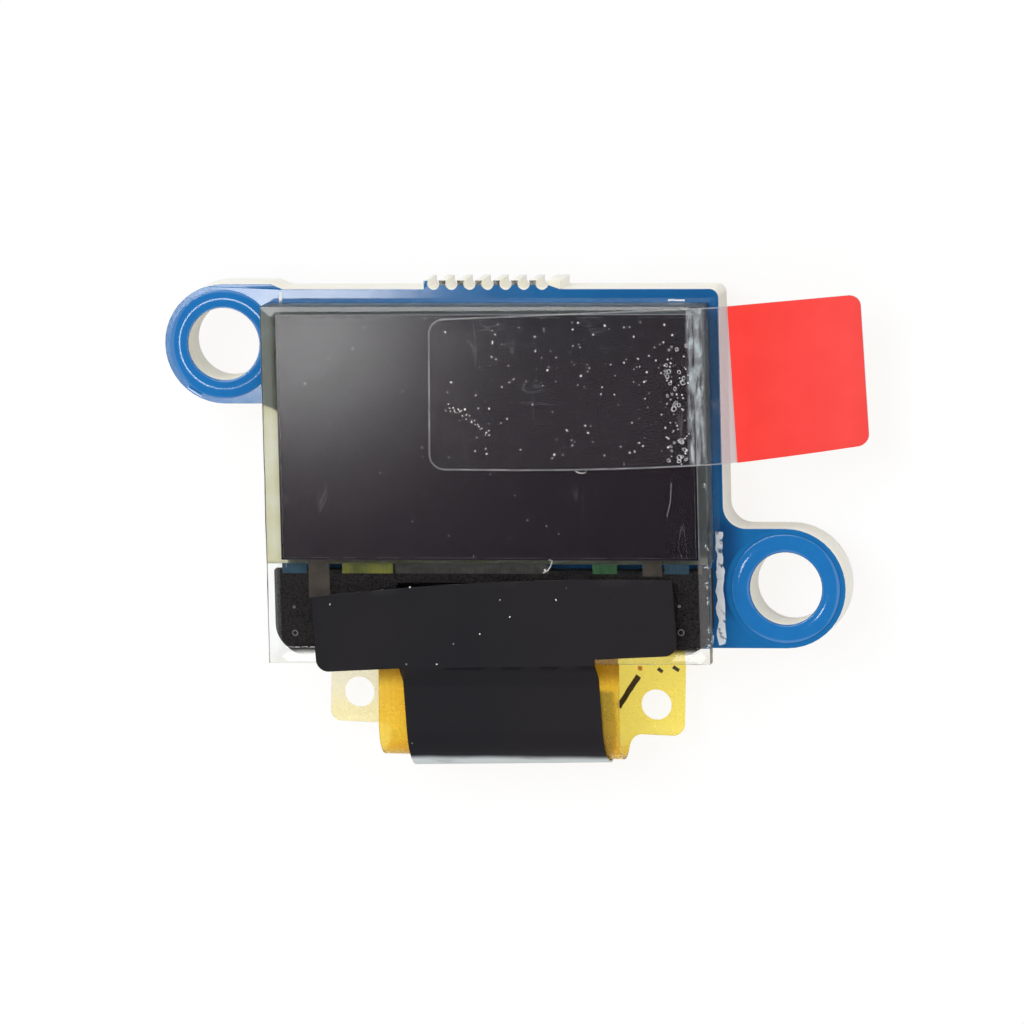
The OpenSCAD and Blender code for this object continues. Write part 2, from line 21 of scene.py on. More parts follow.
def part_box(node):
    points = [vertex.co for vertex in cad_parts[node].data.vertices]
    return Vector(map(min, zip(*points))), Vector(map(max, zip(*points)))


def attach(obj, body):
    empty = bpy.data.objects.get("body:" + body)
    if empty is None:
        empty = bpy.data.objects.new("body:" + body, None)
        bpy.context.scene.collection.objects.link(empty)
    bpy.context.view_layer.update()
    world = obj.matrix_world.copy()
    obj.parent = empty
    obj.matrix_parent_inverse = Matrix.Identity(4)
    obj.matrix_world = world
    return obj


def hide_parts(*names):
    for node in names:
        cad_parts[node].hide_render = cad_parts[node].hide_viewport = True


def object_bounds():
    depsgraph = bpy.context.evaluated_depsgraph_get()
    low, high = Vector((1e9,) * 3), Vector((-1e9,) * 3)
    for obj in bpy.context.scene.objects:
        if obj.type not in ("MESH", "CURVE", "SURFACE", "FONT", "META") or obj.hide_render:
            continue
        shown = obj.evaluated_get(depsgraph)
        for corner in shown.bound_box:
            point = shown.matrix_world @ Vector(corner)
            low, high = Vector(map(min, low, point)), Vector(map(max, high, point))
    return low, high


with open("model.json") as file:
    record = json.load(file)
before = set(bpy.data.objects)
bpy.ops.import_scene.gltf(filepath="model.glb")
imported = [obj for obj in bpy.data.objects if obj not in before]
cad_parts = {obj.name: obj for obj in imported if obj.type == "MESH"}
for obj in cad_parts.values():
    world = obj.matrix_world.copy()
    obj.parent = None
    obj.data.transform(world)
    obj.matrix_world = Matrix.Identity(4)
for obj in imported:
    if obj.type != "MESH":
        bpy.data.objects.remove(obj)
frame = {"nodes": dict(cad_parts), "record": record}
CAD_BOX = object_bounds()

MM = 0.001
EASE = 0.003 * MM          # hair's breadth kept between faces that touch, so that light can pass
BODY = "root"
LOG = logging.getLogger("module")

Colour = tuple[float, float, float]
FaceTest = Callable[[Vector, Vector], bool]


# ---- Places ----


@dataclass(frozen=True)
class Box:
    """A box in the frame, in metres."""

    low: Vector
    high: Vector

    @classmethod
    def of(cls, node: str) -> "Box":
        """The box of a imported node."""
        return cls(*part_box(node))

    @property
    def centre(self) -> Vector:
        """The middle of the box."""
        return (self.low + self.high) / 2

    @property
    def size(self) -> Vector:
        """The box's width, height and depth."""
        return self.high - self.low


def hole_centres() -> list[Vector]:
    """The middles of the two ear holes, left one first."""
    mounts = {m["name"]: Vector(m["pos_m"]) for m in frame["record"]["mounts"]}
    return [mounts["left_ear_hole"], mounts["right_ear_hole"]]


def hole_radius() -> float:
    """The radius of an ear hole, in metres."""
    bore = next(m for m in frame["record"]["mounts"] if m["name"] == "left_ear_hole")
    return bore["dims"]["r_mm"] * MM


# ---- Working on meshes ----


def activate(piece: bpy.types.Object) -> None:
    """Selects one object alone and makes it the active one."""
    bpy.ops.object.select_all(action="DESELECT")
    piece.select_set(True)
    bpy.context.view_layer.objects.active = piece


@contextmanager
def editing(piece: bpy.types.Object) -> Iterator[bmesh.types.BMesh]:
    """Edit mode on one piece, with nothing selected in it.

    Args:
        piece: The mesh object to work on.

    Returns:
        The mesh as the operators see it.
    """
    activate(piece)
    bpy.ops.object.mode_set(mode="EDIT")
    bpy.ops.mesh.select_all(action="DESELECT")
    try:
        yield bmesh.from_edit_mesh(piece.data)
    finally:
        bpy.ops.object.mode_set(mode="OBJECT")


def settle(piece: bpy.types.Object, name: str) -> bpy.types.Object:
    """Names a new piece and moves its place into its mesh."""
    piece.name = name
    piece.data.name = name
    activate(piece)
    bpy.ops.object.transform_apply(location=True, rotation=True, scale=True)
    return piece


def new_block(name: str, low: Vector, high: Vector) -> bpy.types.Object:
    """A block between two corners, to be shaped further."""
    bpy.ops.object.select_all(action="DESELECT")
    bpy.ops.mesh.primitive_cube_add(size=1, location=(low + high) / 2)
    bpy.context.object.scale = high - low
    return settle(bpy.context.object, name)


def new_sheet(name: str, low: Vector, high: Vector, cells: tuple[int, int]) -> bpy.types.Object:
    """A flat sheet of cells between two corners, at the lower corner's height."""
    bpy.ops.object.select_all(action="DESELECT")
    middle = Vector(((low.x + high.x) / 2, (low.y + high.y) / 2, low.z))
    bpy.ops.mesh.primitive_grid_add(x_subdivisions=cells[0], y_subdivisions=cells[1], size=1, location=middle)
    bpy.context.object.scale = (high.x - low.x, high.y - low.y, 1)
    return settle(bpy.context.object, name)


def new_disc(name: str, centre: Vector, radius: float, height: float, sides: int = 32) -> bpy.types.Object:
    """A round plate that stands on a point."""
    bpy.ops.object.select_all(action="DESELECT")
    bpy.ops.mesh.primitive_cylinder_add(
        vertices=sides, radius=radius, depth=height, location=centre + Vector((0, 0, height / 2)))
    return settle(bpy.context.object, name)


def new_flake(name: str, radius: float, seed: int) -> bpy.types.Object:
    """A small crumpled flake at the origin, flat below."""
    bpy.ops.object.select_all(action="DESELECT")
    bpy.ops.mesh.primitive_ico_sphere_add(subdivisions=2, radius=radius)
    piece = settle(bpy.context.object, name)
    shift = Vector((seed * 3.7, seed * 1.3, 0))
    with editing(piece) as mesh:
        for vertex in mesh.verts:
            vertex.co *= 0.75 + 0.7 * noise.noise(vertex.co / radius + shift)
            vertex.co.z *= 0.4
    return piece


def copy_node(node: str, name: str) -> bpy.types.Object:
    """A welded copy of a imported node's mesh, with its flat faces whole again."""
    piece = bpy.data.objects.new(name, frame["nodes"][node].data.copy())
    bpy.context.scene.collection.objects.link(piece)
    piece.data.name = name
    piece.data.materials.clear()
    activate(piece)
    if piece.data.has_custom_normals:
        bpy.ops.mesh.customdata_custom_splitnormals_clear()
    with editing(piece):
        bpy.ops.mesh.select_all(action="SELECT")
        bpy.ops.mesh.remove_doubles(threshold=1e-7)
        bpy.ops.mesh.dissolve_limited(angle_limit=math.radians(0.4))
    return piece


def modify(piece: bpy.types.Object, kind: str, **settings: Any) -> None:
    """Adds a modifier with the given settings and applies it."""
    modifier = piece.modifiers.new(kind.title(), kind)
    for name, value in settings.items():
        setattr(modifier, name, value)
    activate(piece)
    bpy.ops.object.modifier_apply(modifier=modifier.name)


def round_edges(piece: bpy.types.Object, width: float, segments: int = 2, angle: float = 30.0) -> None:
    """Bevels every edge sharper than an angle, in degrees. The width is in millimetres."""
    modify(piece, "BEVEL", width=width * MM, segments=segments, limit_method="ANGLE",
           angle_limit=math.radians(angle), use_clamp_overlap=True, miter_outer="MITER_ARC")


def carve(piece: bpy.types.Object, cutter: bpy.types.Object) -> None:
    """Takes a cutter's shape out of a piece and deletes the cutter."""
    modify(piece, "BOOLEAN", operation="DIFFERENCE", solver="EXACT", object=cutter)
    bpy.data.objects.remove(cutter)


def cut_grid(piece: bpy.types.Object, axis: int, pitch: float) -> None:
    """Cuts a piece's faces by evenly spaced planes across one axis. The pitch is in millimetres."""
    low = min(v.co[axis] for v in piece.data.vertices)
    high = max(v.co[axis] for v in piece.data.vertices)
    normal = [0.0, 0.0, 0.0]
    normal[axis] = 1.0
    count = max(1, int((high - low) / (pitch * MM)))
    with editing(piece):
        for i in range(1, count):
            point = [0.0, 0.0, 0.0]
            point[axis] = low + (high - low) * i / count
            bpy.ops.mesh.select_all(action="SELECT")
            bpy.ops.mesh.bisect(plane_co=point, plane_no=normal)


def join(name: str, parts: Sequence[bpy.types.Object]) -> bpy.types.Object:
    """Joins several pieces into one."""
    bpy.ops.object.select_all(action="DESELECT")
    for part in parts:
        part.select_set(True)
    bpy.context.view_layer.objects.active = parts[0]
    if len(parts) > 1:
        bpy.ops.object.join()
    parts[0].name = name
    parts[0].data.name = name
    return parts[0]


def spread(name: str, models: Sequence[bpy.types.Object], places: Sequence[Matrix]) -> bpy.types.Object:
    """Copies models in turn to each place, joins the copies and deletes the models.

    Args:
        name: The new piece's name.
        models: One or more small pieces modelled at the origin.
        places: Where each copy goes.

    Returns:
        The joined piece.
    """
    copies = []
    for i, place in enumerate(places):
        mesh = models[i % len(models)].data.copy()
        mesh.transform(place)
        made = bpy.data.objects.new(name, mesh)
        bpy.context.scene.collection.objects.link(made)
        copies.append(made)
    for model in models:
        bpy.data.objects.remove(model)
    return join(name, copies)


def place(x: float, y: float, z: float, turn: float = 0.0, scale: Sequence[float] = (1, 1, 1)) -> Matrix:
    """A place in millimetres, with a turn about Z in degrees and a scale."""
    return (Matrix.Translation(Vector((x, y, z)) * MM) @ Matrix.Rotation(math.radians(turn), 4, "Z")
            @ Matrix.Diagonal((*scale, 1)))


def paint(piece: bpy.types.Object, index: int, test: FaceTest) -> None:
    """Gives one of the piece's materials to each face whose middle and normal pass a test."""
    for face in piece.data.polygons:
        if test(face.center, face.normal):
            face.material_index = index


def smooth(piece: bpy.types.Object, angle: float = 40.0) -> None:
    """Shades a piece smooth, apart from edges sharper than an angle in degrees, and keeps flat faces flat."""
    activate(piece)
    bpy.ops.object.shade_smooth_by_angle(angle=math.radians(angle))
    modify(piece, "WEIGHTED_NORMAL", keep_sharp=True, weight=100)


# ---- Node graphs ----


class Graph:
    """Makes and links nodes in one tree."""

    def __init__(self, tree: bpy.types.NodeTree) -> None:
        """Keeps the tree to work in."""
        self.tree = tree

    def node(self, kind: str, **settings: Any) -> bpy.types.Node:
        """Adds a node and sets its properties."""
        made = self.tree.nodes.new(kind)
        for name, value in settings.items():
            setattr(made, name, value)
        return made

    def feed(self, socket: bpy.types.NodeSocket, value: Any) -> None:
        """Links an output to a socket, or sets the socket's own value."""
        if isinstance(value, bpy.types.NodeSocket):
            self.tree.links.new(value, socket)
        elif socket.type == "RGBA":
            socket.default_value = (*value[:3], 1.0)
        else:
            socket.default_value = value

    def math(self, operation: str, *values: Any, clamp: bool = False) -> bpy.types.NodeSocket:
        """The result of a Math node."""
        made = self.node("ShaderNodeMath", operation=operation, use_clamp=clamp)
        for socket, value in zip(made.inputs, values):
            self.feed(socket, value)
        return made.outputs[0]

    def vector(self, operation: str, *values: Any) -> bpy.types.NodeSocket:
        """The vector that a Vector Math node gives."""
        made = self.node("ShaderNodeVectorMath", operation=operation)
        for socket, value in zip(made.inputs, values):
            self.feed(socket, value)
        return made.outputs["Value" if operation in ("LENGTH", "DOT_PRODUCT") else "Vector"]

    def split(self, vector: bpy.types.NodeSocket) -> list[bpy.types.NodeSocket]:
        """The three parts of a vector."""
        made = self.node("ShaderNodeSeparateXYZ")
        self.feed(made.inputs[0], vector)
        return list(made.outputs)

    def fade(self, value: Any, start: Any, end: Any, low: float = 0.0, high: float = 1.0) -> bpy.types.NodeSocket:
        """Goes smoothly from low to high while the value goes from start to end."""
        made = self.node("ShaderNodeMapRange", interpolation_type="SMOOTHSTEP")
        for socket, given in zip(made.inputs, (value, start, end, low, high)):
            self.feed(socket, given)
        return made.outputs[0]

    def mix(self, share: Any, first: Any, second: Any) -> bpy.types.NodeSocket:
        """A colour between two colours."""
        made = self.node("ShaderNodeMix", data_type="RGBA")
        self.feed(made.inputs[0], share)
        self.feed(made.inputs[6], first)
        self.feed(made.inputs[7], second)
        return made.outputs[2]

    def blend(self, share: Any, first: Any, second: Any) -> bpy.types.NodeSocket:
        """A number between two numbers."""
        made = self.node("ShaderNodeMix", data_type="FLOAT")
        for socket, value in zip(made.inputs[:1] + made.inputs[2:4], (share, first, second)):
            self.feed(socket, value)
        return made.outputs[0]

    def noise(self, point: Any, scale: Any, detail: float = 2.0, rough: float = 0.5) -> bpy.types.NodeSocket:
        """Smooth noise between 0 and 1."""
        made = self.node("ShaderNodeTexNoise")
        for name, value in (("Vector", point), ("Scale", scale), ("Detail", detail), ("Roughness", rough)):
            self.feed(made.inputs[name], value)
        return made.outputs["Fac"]

    def cells(self, point: Any, scale: Any) -> bpy.types.Node:
        """A Voronoi node, for its distance and its colour for each cell."""
        made = self.node("ShaderNodeTexVoronoi")
        self.feed(made.inputs["Vector"], point)
        self.feed(made.inputs["Scale"], scale)
        return made

    def effect(self, tree: bpy.types.NodeTree, **values: Any) -> bpy.types.NodeSocket:
        """Places an effect group and returns its result. Underscores in names stand for spaces."""
        made = self.node("ShaderNodeGroup", node_tree=tree)
        for name, value in values.items():
            self.feed(made.inputs[name.replace("_", " ")], value)
        return made.outputs[0]


# ---- Effects that several finishes share ----


def effect_tree(name: str, result: str, inputs: dict[str, str]) -> tuple[bpy.types.NodeTree, Graph, Any, Any]:
    """Starts an effect group.

    Args:
        name: The group's name.
        result: "Color" or "Float", the kind of its one output.
        inputs: The kind of each input by name.

    Returns:
        The tree, a graph on it, its input sockets by name and its output socket.
    """
    tree = bpy.data.node_groups.new(name, "ShaderNodeTree")
    for label, kind in inputs.items():
        tree.interface.new_socket(name=label, in_out="INPUT", socket_type=f"NodeSocket{kind}")
    tree.interface.new_socket(name="Result", in_out="OUTPUT", socket_type=f"NodeSocket{result}")
    graph = Graph(tree)
    return tree, graph, graph.node("NodeGroupInput").outputs, graph.node("NodeGroupOutput").inputs[0]


@cache
def soft_patch() -> bpy.types.NodeTree:
    """A mask that is 1 in a box, given by its middle and half its size, and fades past its sides."""
    tree, graph, given, result = effect_tree("soft_patch", "Float", {
        "Point": "Vector", "Middle": "Vector", "Half": "Vector", "Fade": "Float"})
    away = graph.vector("ABSOLUTE", graph.vector("SUBTRACT", given["Point"], given["Middle"]))
    past = graph.split(graph.vector("SUBTRACT", away, given["Half"]))
    sides = [graph.fade(part, 0.0, given["Fade"], 1.0, 0.0) for part in past]
    graph.feed(result, graph.math("MULTIPLY", graph.math("MULTIPLY", sides[0], sides[1]), sides[2]))
    return tree


@cache
def round_patch() -> bpy.types.NodeTree:
    """A mask that is 1 within a radius of an upright axis and fades past it."""
    tree, graph, given, result = effect_tree("round_patch", "Float", {
        "Point": "Vector", "Middle": "Vector", "Radius": "Float", "Fade": "Float"})
    flat = graph.vector("MULTIPLY", graph.vector("SUBTRACT", given["Point"], given["Middle"]), (1, 1, 0))
    past = graph.math("SUBTRACT", graph.vector("LENGTH", flat), given["Radius"])
    graph.feed(result, graph.fade(past, 0.0, given["Fade"], 1.0, 0.0))
    return tree


@cache
def grain() -> bpy.types.NodeTree:
    """Noise between 0 and 1, with a stretch for each axis."""
    tree, graph, given, result = effect_tree("grain", "Float", {
        "Point": "Vector", "Scale": "Float", "Stretch": "Vector"})
    graph.feed(result, graph.noise(graph.vector("MULTIPLY", given["Point"], given["Stretch"]), given["Scale"]))
    return tree


@cache
def mottle() -> bpy.types.NodeTree:
    """Two tones of a colour that drift into each other."""
    tree, graph, given, result = effect_tree("mottle", "Color", {
        "Point": "Vector", "Scale": "Float", "Tone A": "Color", "Tone B": "Color"})
    share = graph.fade(graph.noise(given["Point"], given["Scale"], 3.0), 0.3, 0.7)
    graph.feed(result, graph.mix(share, given["Tone A"], given["Tone B"]))
    return tree


@cache
def specks() -> bpy.types.NodeTree:
    """A mask of scattered specks of dust."""
    tree, graph, given, result = effect_tree("specks", "Float", {
        "Point": "Vector", "Scale": "Float", "Size": "Float", "Amount": "Float"})
    cells = graph.cells(given["Point"], given["Scale"])
    chosen = graph.math("GREATER_THAN", graph.split(cells.outputs["Color"])[0],
                        graph.math("SUBTRACT", 1.0, given["Amount"]))
    inside = graph.fade(cells.outputs["Distance"], graph.math("MULTIPLY", given["Size"], 0.6), given["Size"], 1.0, 0.0)
    graph.feed(result, graph.math("MULTIPLY", chosen, inside))
    return tree


@cache
def hairlines() -> bpy.types.NodeTree:
    """A mask of fine scratches along a direction, broken up here and there."""
    tree, graph, given, result = effect_tree("hairlines", "Float", {
        "Point": "Vector", "Scale": "Float", "Stretch": "Vector", "Width": "Float"})
    long = graph.noise(graph.vector("MULTIPLY", given["Point"], given["Stretch"]), given["Scale"], 1.0)
    line = graph.fade(graph.math("ABSOLUTE", graph.math("SUBTRACT", long, 0.5)), 0.0, given["Width"], 1.0, 0.0)
    broken = graph.fade(graph.noise(given["Point"], graph.math("MULTIPLY", given["Scale"], 0.6), 2.0), 0.52, 0.66)
    graph.feed(result, graph.math("MULTIPLY", line, broken))
    return tree


class Surface:
    """A new material, its Principled shader and the piece's own coordinates."""

    def __init__(self, name: str) -> None:
        """Starts the material."""
        self.material = bpy.data.materials.new(name)
        self.material.use_nodes = True
        self.graph = Graph(self.material.node_tree)
        self.shader = self.material.node_tree.nodes["Principled BSDF"]
        self.point = self.graph.node("ShaderNodeTexCoord").outputs["Object"]

    def set(self, **values: Any) -> None:
        """Sets or links the shader's inputs. Names are as on the shader, in lower case."""
        inputs = {socket.name.lower().replace(" ", "_"): socket for socket in self.shader.inputs}
        for name, value in values.items():
            self.graph.feed(inputs[name], value)

    def bump(self, height: bpy.types.NodeSocket, depth: float, strength: float = 1.0) -> None:
        """Gives the surface a relief. The depth is in millimetres."""
        made = self.graph.node("ShaderNodeBump")
        made.inputs["Strength"].default_value = strength
        made.inputs["Distance"].default_value = depth * MM
        self.graph.feed(made.inputs["Height"], height)
        self.graph.feed(self.shader.inputs["Normal"], made.outputs[0])

    def patch(self, middle: Sequence[float], half: Sequence[float], fade: float) -> bpy.types.NodeSocket:
        """A soft box mask. All lengths are in millimetres; a third length of half may be left out."""
        tall = half[2] if len(half) > 2 else 100.0
        high = middle[2] if len(middle) > 2 else 0.0
        return self.graph.effect(
            soft_patch(), Point=self.point, Middle=Vector((middle[0], middle[1], high)) * MM,
            Half=Vector((half[0], half[1], tall)) * MM, Fade=fade * MM)

    def grain(self, scale: float, stretch: Sequence[float] = (1, 1, 1)) -> bpy.types.NodeSocket:
        """Noise with so many waves to a millimetre."""
        return self.graph.effect(grain(), Point=self.point, Scale=scale / MM, Stretch=stretch)

    def tones(self, first: Colour, second: Colour, scale: float) -> bpy.types.NodeSocket:
        """Two drifting tones, with so many waves to a millimetre."""
        return self.graph.effect(mottle(), Point=self.point, Scale=scale / MM, Tone_A=first, Tone_B=second)


# ---- Finishes ----


@dataclass(frozen=True)
class Finish:
    """A finish of one kind of surface, and the record's slot that it belongs to."""

    name: str
    slot: str

    def dress(self, surface: Surface) -> None:
        """Builds the finish on a new surface."""
        raise NotImplementedError

    @cache
    def material(self) -> bpy.types.Material:
        """The finish's material, built the first time it is asked for."""
        surface = Surface(self.name)
        self.dress(surface)
        return surface.material


@dataclass(frozen=True)
class SolderMask(Finish):
    """Blue lacquer: lighter where copper lies under it, deeper where none does, with painted shade in given patches.
    """

    name: str = "solder_mask"
    slot: str = "board"
    over_copper: Colour = (0.012, 0.160, 0.425)
    over_laminate: Colour = (0.010, 0.078, 0.235)
    copper_share: float = 0.75
    holes: tuple[tuple[float, float], ...] = ()
    shade_patches: tuple[tuple[float, float], ...] = ()
    roughness: float = 0.055

    def dress(self, surface: Surface) -> None:
        """Mixes the two blues by a slow drift, with painted shade patches and whole copper round the ear holes."""
        graph = surface.graph
        share = graph.fade(surface.grain(0.22), 0.25, 0.75, self.copper_share - 0.2, self.copper_share + 0.2)
        # Painted shade: the deep blue is laid in soft patches where shade falls beside the right ear's ring.
        for x, y in self.shade_patches:
            shaded = graph.math("MULTIPLY", surface.patch((x, y), (0.05, 0.5), 0.7), 0.9)
            share = graph.math("SUBTRACT", share, shaded, clamp=True)
        for x, y in self.holes:
            near = graph.effect(round_patch(), Point=surface.point, Middle=Vector((x, y, 0)) * MM,
                                Radius=1.9 * MM, Fade=0.1 * MM)
            share = graph.math("MAXIMUM", share, near)
        blue = graph.mix(share, self.over_laminate, self.over_copper)
        fine = surface.tones((0.92, 0.95, 0.97), (1.0, 1.0, 1.0), 2.5)
        surface.set(base_color=multiply(graph, blue, fine),
                    roughness=graph.blend(surface.grain(1.5), self.roughness - 0.01, self.roughness + 0.03),
                    specular_ior_level=0.5, coat_weight=0.6, coat_roughness=0.06)
        surface.bump(surface.grain(1.2), 0.0012)


def multiply(graph: Graph, first: Any, second: Any) -> bpy.types.NodeSocket:
    """One colour times another."""
    made = graph.node("ShaderNodeMix", data_type="RGBA", blend_type="MULTIPLY")
    for index, value in ((0, 1.0), (6, first), (7, second)):
        graph.feed(made.inputs[index], value)
    return made.outputs[2]


@dataclass(frozen=True)
class Laminate(Finish):
    """The sawn edge of glass-fibre board, with its layers of cloth showing as fine lines."""

    name: str = "laminate_edge"
    slot: str = "board"
    resin: Colour = (0.93, 0.89, 0.74)
    fibre: Colour = (0.97, 0.96, 0.92)

    def dress(self, surface: Surface) -> None:
        """Lays pale fibre lines through the resin."""
        lines = surface.grain(1.2, (0.6, 0.6, 9.0))
        graph = surface.graph
        surface.set(base_color=graph.mix(graph.fade(lines, 0.35, 0.65), self.resin, self.fibre),
                    roughness=0.62, subsurface_weight=0.25, subsurface_radius=(0.6 * MM, 0.5 * MM, 0.3 * MM),
                    subsurface_scale=1.0)
        surface.bump(lines, 0.01)


@dataclass(frozen=True)
class TornFibre(Finish):
    """Broken glass fibre and resin, darkened where the tab was snapped off."""

    name: str = "torn_fibre"
    slot: str = "board"
    pale: Colour = (0.30, 0.30, 0.26)
    burnt: Colour = (0.055, 0.050, 0.042)

    def dress(self, surface: Surface) -> None:
        """Mixes pale fibre and dark burrs at the scale of a strand."""
        graph = surface.graph
        share = graph.fade(surface.grain(7.0, (1.0, 1.0, 0.5)), 0.36, 0.6)
        surface.set(base_color=graph.mix(share, self.burnt, self.pale), roughness=0.8)
        surface.bump(surface.grain(14.0), 0.02)


@dataclass(frozen=True)
class SilkInk(Finish):
    """White print, thin and broken where it didn't take."""

    name: str = "silk_ink"
    slot: str = "board"
    white: Colour = (0.97, 0.98, 1.0)

    def dress(self, surface: Surface) -> None:
        """Leaves small holes in the ink and a rough surface."""
        graph = surface.graph
        thin = graph.fade(surface.grain(4.0, (1.0, 0.8, 1.0)), 0.30, 0.44)
        surface.set(base_color=surface.tones(self.white, (0.80, 0.88, 0.97), 4.0), roughness=0.55,
                    alpha=graph.blend(thin, 0.15, 0.98))
        surface.bump(surface.grain(9.0), 0.004)


@dataclass(frozen=True)
class ClearGlass(Finish):
    """Thin float glass, polished on its faces."""

    corners: tuple[tuple[float, float], ...] = ()
    name: str = "clear_glass"
    slot: str = "panel_glass"
    tint: Colour = (0.955, 0.975, 0.965)
    glue_and_shadow: Colour = (0.79, 0.78, 0.70)
    roughness: float = 0.015

    def dress(self, surface: Surface) -> None:
        """Clear glass, darkened at its lower corners by glue residue and a painted shadow."""
        tint: Any = self.tint
        for x, y in self.corners:
            # Partly glue residue, partly painted shadow: the lower corners darken beside the black foam.
            glue_and_shadow_mask = surface.patch((x, y), (0.55, 0.1), 0.55)
            tint = surface.graph.mix(surface.graph.math("MULTIPLY", glue_and_shadow_mask, surface.grain(2.0)), tint, self.glue_and_shadow)
        surface.set(base_color=tint, roughness=self.roughness, ior=1.52, transmission_weight=1.0)
        surface.bump(surface.grain(0.8), 0.0006)


@dataclass(frozen=True)
class CutGlass(Finish):
    """The scribed and broken edge of the glass, frosty with fine shell marks."""

    name: str = "cut_glass_edge"
    slot: str = "panel_glass"
    tint: Colour = (0.80, 0.84, 0.82)

    def dress(self, surface: Surface) -> None:
        """Rough glass with ripples along the cut."""
        ripples = surface.grain(5.0, (1.0, 1.0, 0.25))
        surface.set(base_color=surface.tones(self.tint, (0.50, 0.54, 0.52), 3.0), ior=1.52,
                    roughness=surface.graph.blend(ripples, 0.22, 0.55), transmission_weight=1.0)
        surface.bump(ripples, 0.02)


@dataclass(frozen=True)
class Glue(Finish):
    """The yellowish glue line between the two glasses."""

    name: str = "glue_amber"
    slot: str = "seal_glue"
    amber: Colour = (0.74, 0.69, 0.44)
    cloudy: Colour = (0.86, 0.83, 0.68)

    def dress(self, surface: Surface) -> None:
        """Tinted glue with cloudy places, which lets the board show through."""
        surface.set(base_color=surface.tones(self.amber, self.cloudy, 1.1), roughness=0.3, ior=1.35,
                    transmission_weight=0.93)


@dataclass(frozen=True)
class PolarizerSheet(Finish):
    """Dark purple-black sheet with a mirror-like face."""

    name: str = "polarizer_sheet"
    slot: str = "polarizer"
    purple: Colour = (0.0165, 0.0105, 0.0145)
    black: Colour = (0.0105, 0.0085, 0.0125)

    def dress(self, surface: Surface) -> None:
        """Slow changes of tone under a nearly even gloss."""
        graph = surface.graph
        tone = surface.tones(self.purple, self.black, 0.13)
        fine = surface.tones((0.9, 0.9, 0.92), (1.0, 1.0, 1.0), 1.2)
        surface.set(base_color=multiply(graph, tone, fine),
                    roughness=graph.blend(surface.grain(0.7), 0.075, 0.095), specular_ior_level=0.5)
        surface.bump(surface.grain(0.4), 0.0004)


@dataclass(frozen=True)
class ClearFilm(Finish):
    """Clear film over the polarizer, with hair scratches and dust."""

    name: str = "cover_film"
    slot: str = "clear_film"
    haze: Colour = (0.55, 0.53, 0.56)

    def dress(self, surface: Surface) -> None:
        """Nearly invisible, but for scratches and specks."""
        graph = surface.graph
        scratch = graph.effect(hairlines(), Point=surface.point, Scale=0.5 / MM, Stretch=(3.0, 0.35, 1.0), Width=0.006)
        dust = graph.effect(specks(), Point=surface.point, Scale=5.0 / MM, Size=0.16, Amount=0.035)
        marks = graph.math("ADD", graph.math("MULTIPLY", scratch, 0.10), graph.math("MULTIPLY", dust, 0.45))
        surface.set(base_color=self.haze, roughness=0.16, alpha=graph.math("ADD", marks, 0.004, clamp=True))


@dataclass(frozen=True)
class LabelFilm(Finish):
    """The clear pull label: streaky where it lifts off at the panel's edge, with a painted pink reflection of the red
    grip and painted shade where it hangs free.
    """

    edge_x: float = 0.0
    name: str = "label_film"
    slot: str = "clear_film"
    haze: Colour = (0.50, 0.49, 0.52)
    streak_white: Colour = (0.52, 0.60, 0.63)
    red_reflection_tint: Colour = (0.60, 0.46, 0.48)

    def dress(self, surface: Surface) -> None:
        """Clear over the panel, streaks at its right edge, and beyond it a painted pink reflection of the red grip
        with painted shade.
        """
        graph = surface.graph
        along = graph.split(surface.point)[0]
        lifted = graph.math("MULTIPLY", graph.fade(along, (self.edge_x - 0.56) * MM, (self.edge_x - 0.40) * MM),
                            graph.fade(along, (self.edge_x - 0.06) * MM, (self.edge_x + 0.08) * MM, 1.0, 0.0))
        streaks = graph.fade(surface.grain(2.6, (3.2, 0.5, 1.0)), 0.34, 0.62, 0.1, 1.0)
        wet = graph.fade(surface.grain(3.0, (1.0, 0.7, 1.0)), 0.34, 0.66, 0.3, 1.0)
        milky = graph.math("MULTIPLY", graph.math("MULTIPLY", lifted, streaks), wet)
        free = graph.fade(along, (self.edge_x + 0.50) * MM, (self.edge_x + 0.60) * MM)
        scratch = graph.effect(hairlines(), Point=surface.point, Scale=0.9 / MM, Stretch=(0.8, 2.0, 1.0), Width=0.012)
        # Painted reflection and shade: the pink tint where the label hangs free stands for the red grip mirrored in it
        # and the shade below.
        tint = graph.mix(free, graph.mix(milky, self.haze, self.streak_white), self.red_reflection_tint)
        cover = graph.math("ADD", graph.math("MULTIPLY", milky, 0.62), graph.math("MULTIPLY", free, 0.5))
        cover = graph.math("ADD", cover, graph.math("MULTIPLY", scratch, 0.12))
        surface.set(base_color=tint, roughness=graph.blend(milky, 0.08, 0.4),
                    alpha=graph.math("ADD", cover, 0.012, clamp=True))
        surface.bump(surface.grain(1.0, (1.5, 0.6, 1.0)), 0.0006)


@dataclass(frozen=True)
class LabelEdge(Finish):
    """The label's cut edge, whitened by the knife."""

    name: str = "label_edge"
    slot: str = "clear_film"
    white: Colour = (0.62, 0.62, 0.64)

    def dress(self, surface: Surface) -> None:
        """A pale line that comes and goes."""
        surface.set(base_color=self.white, roughness=0.45,
                    alpha=surface.graph.blend(surface.grain(1.1), 0.16, 0.5))


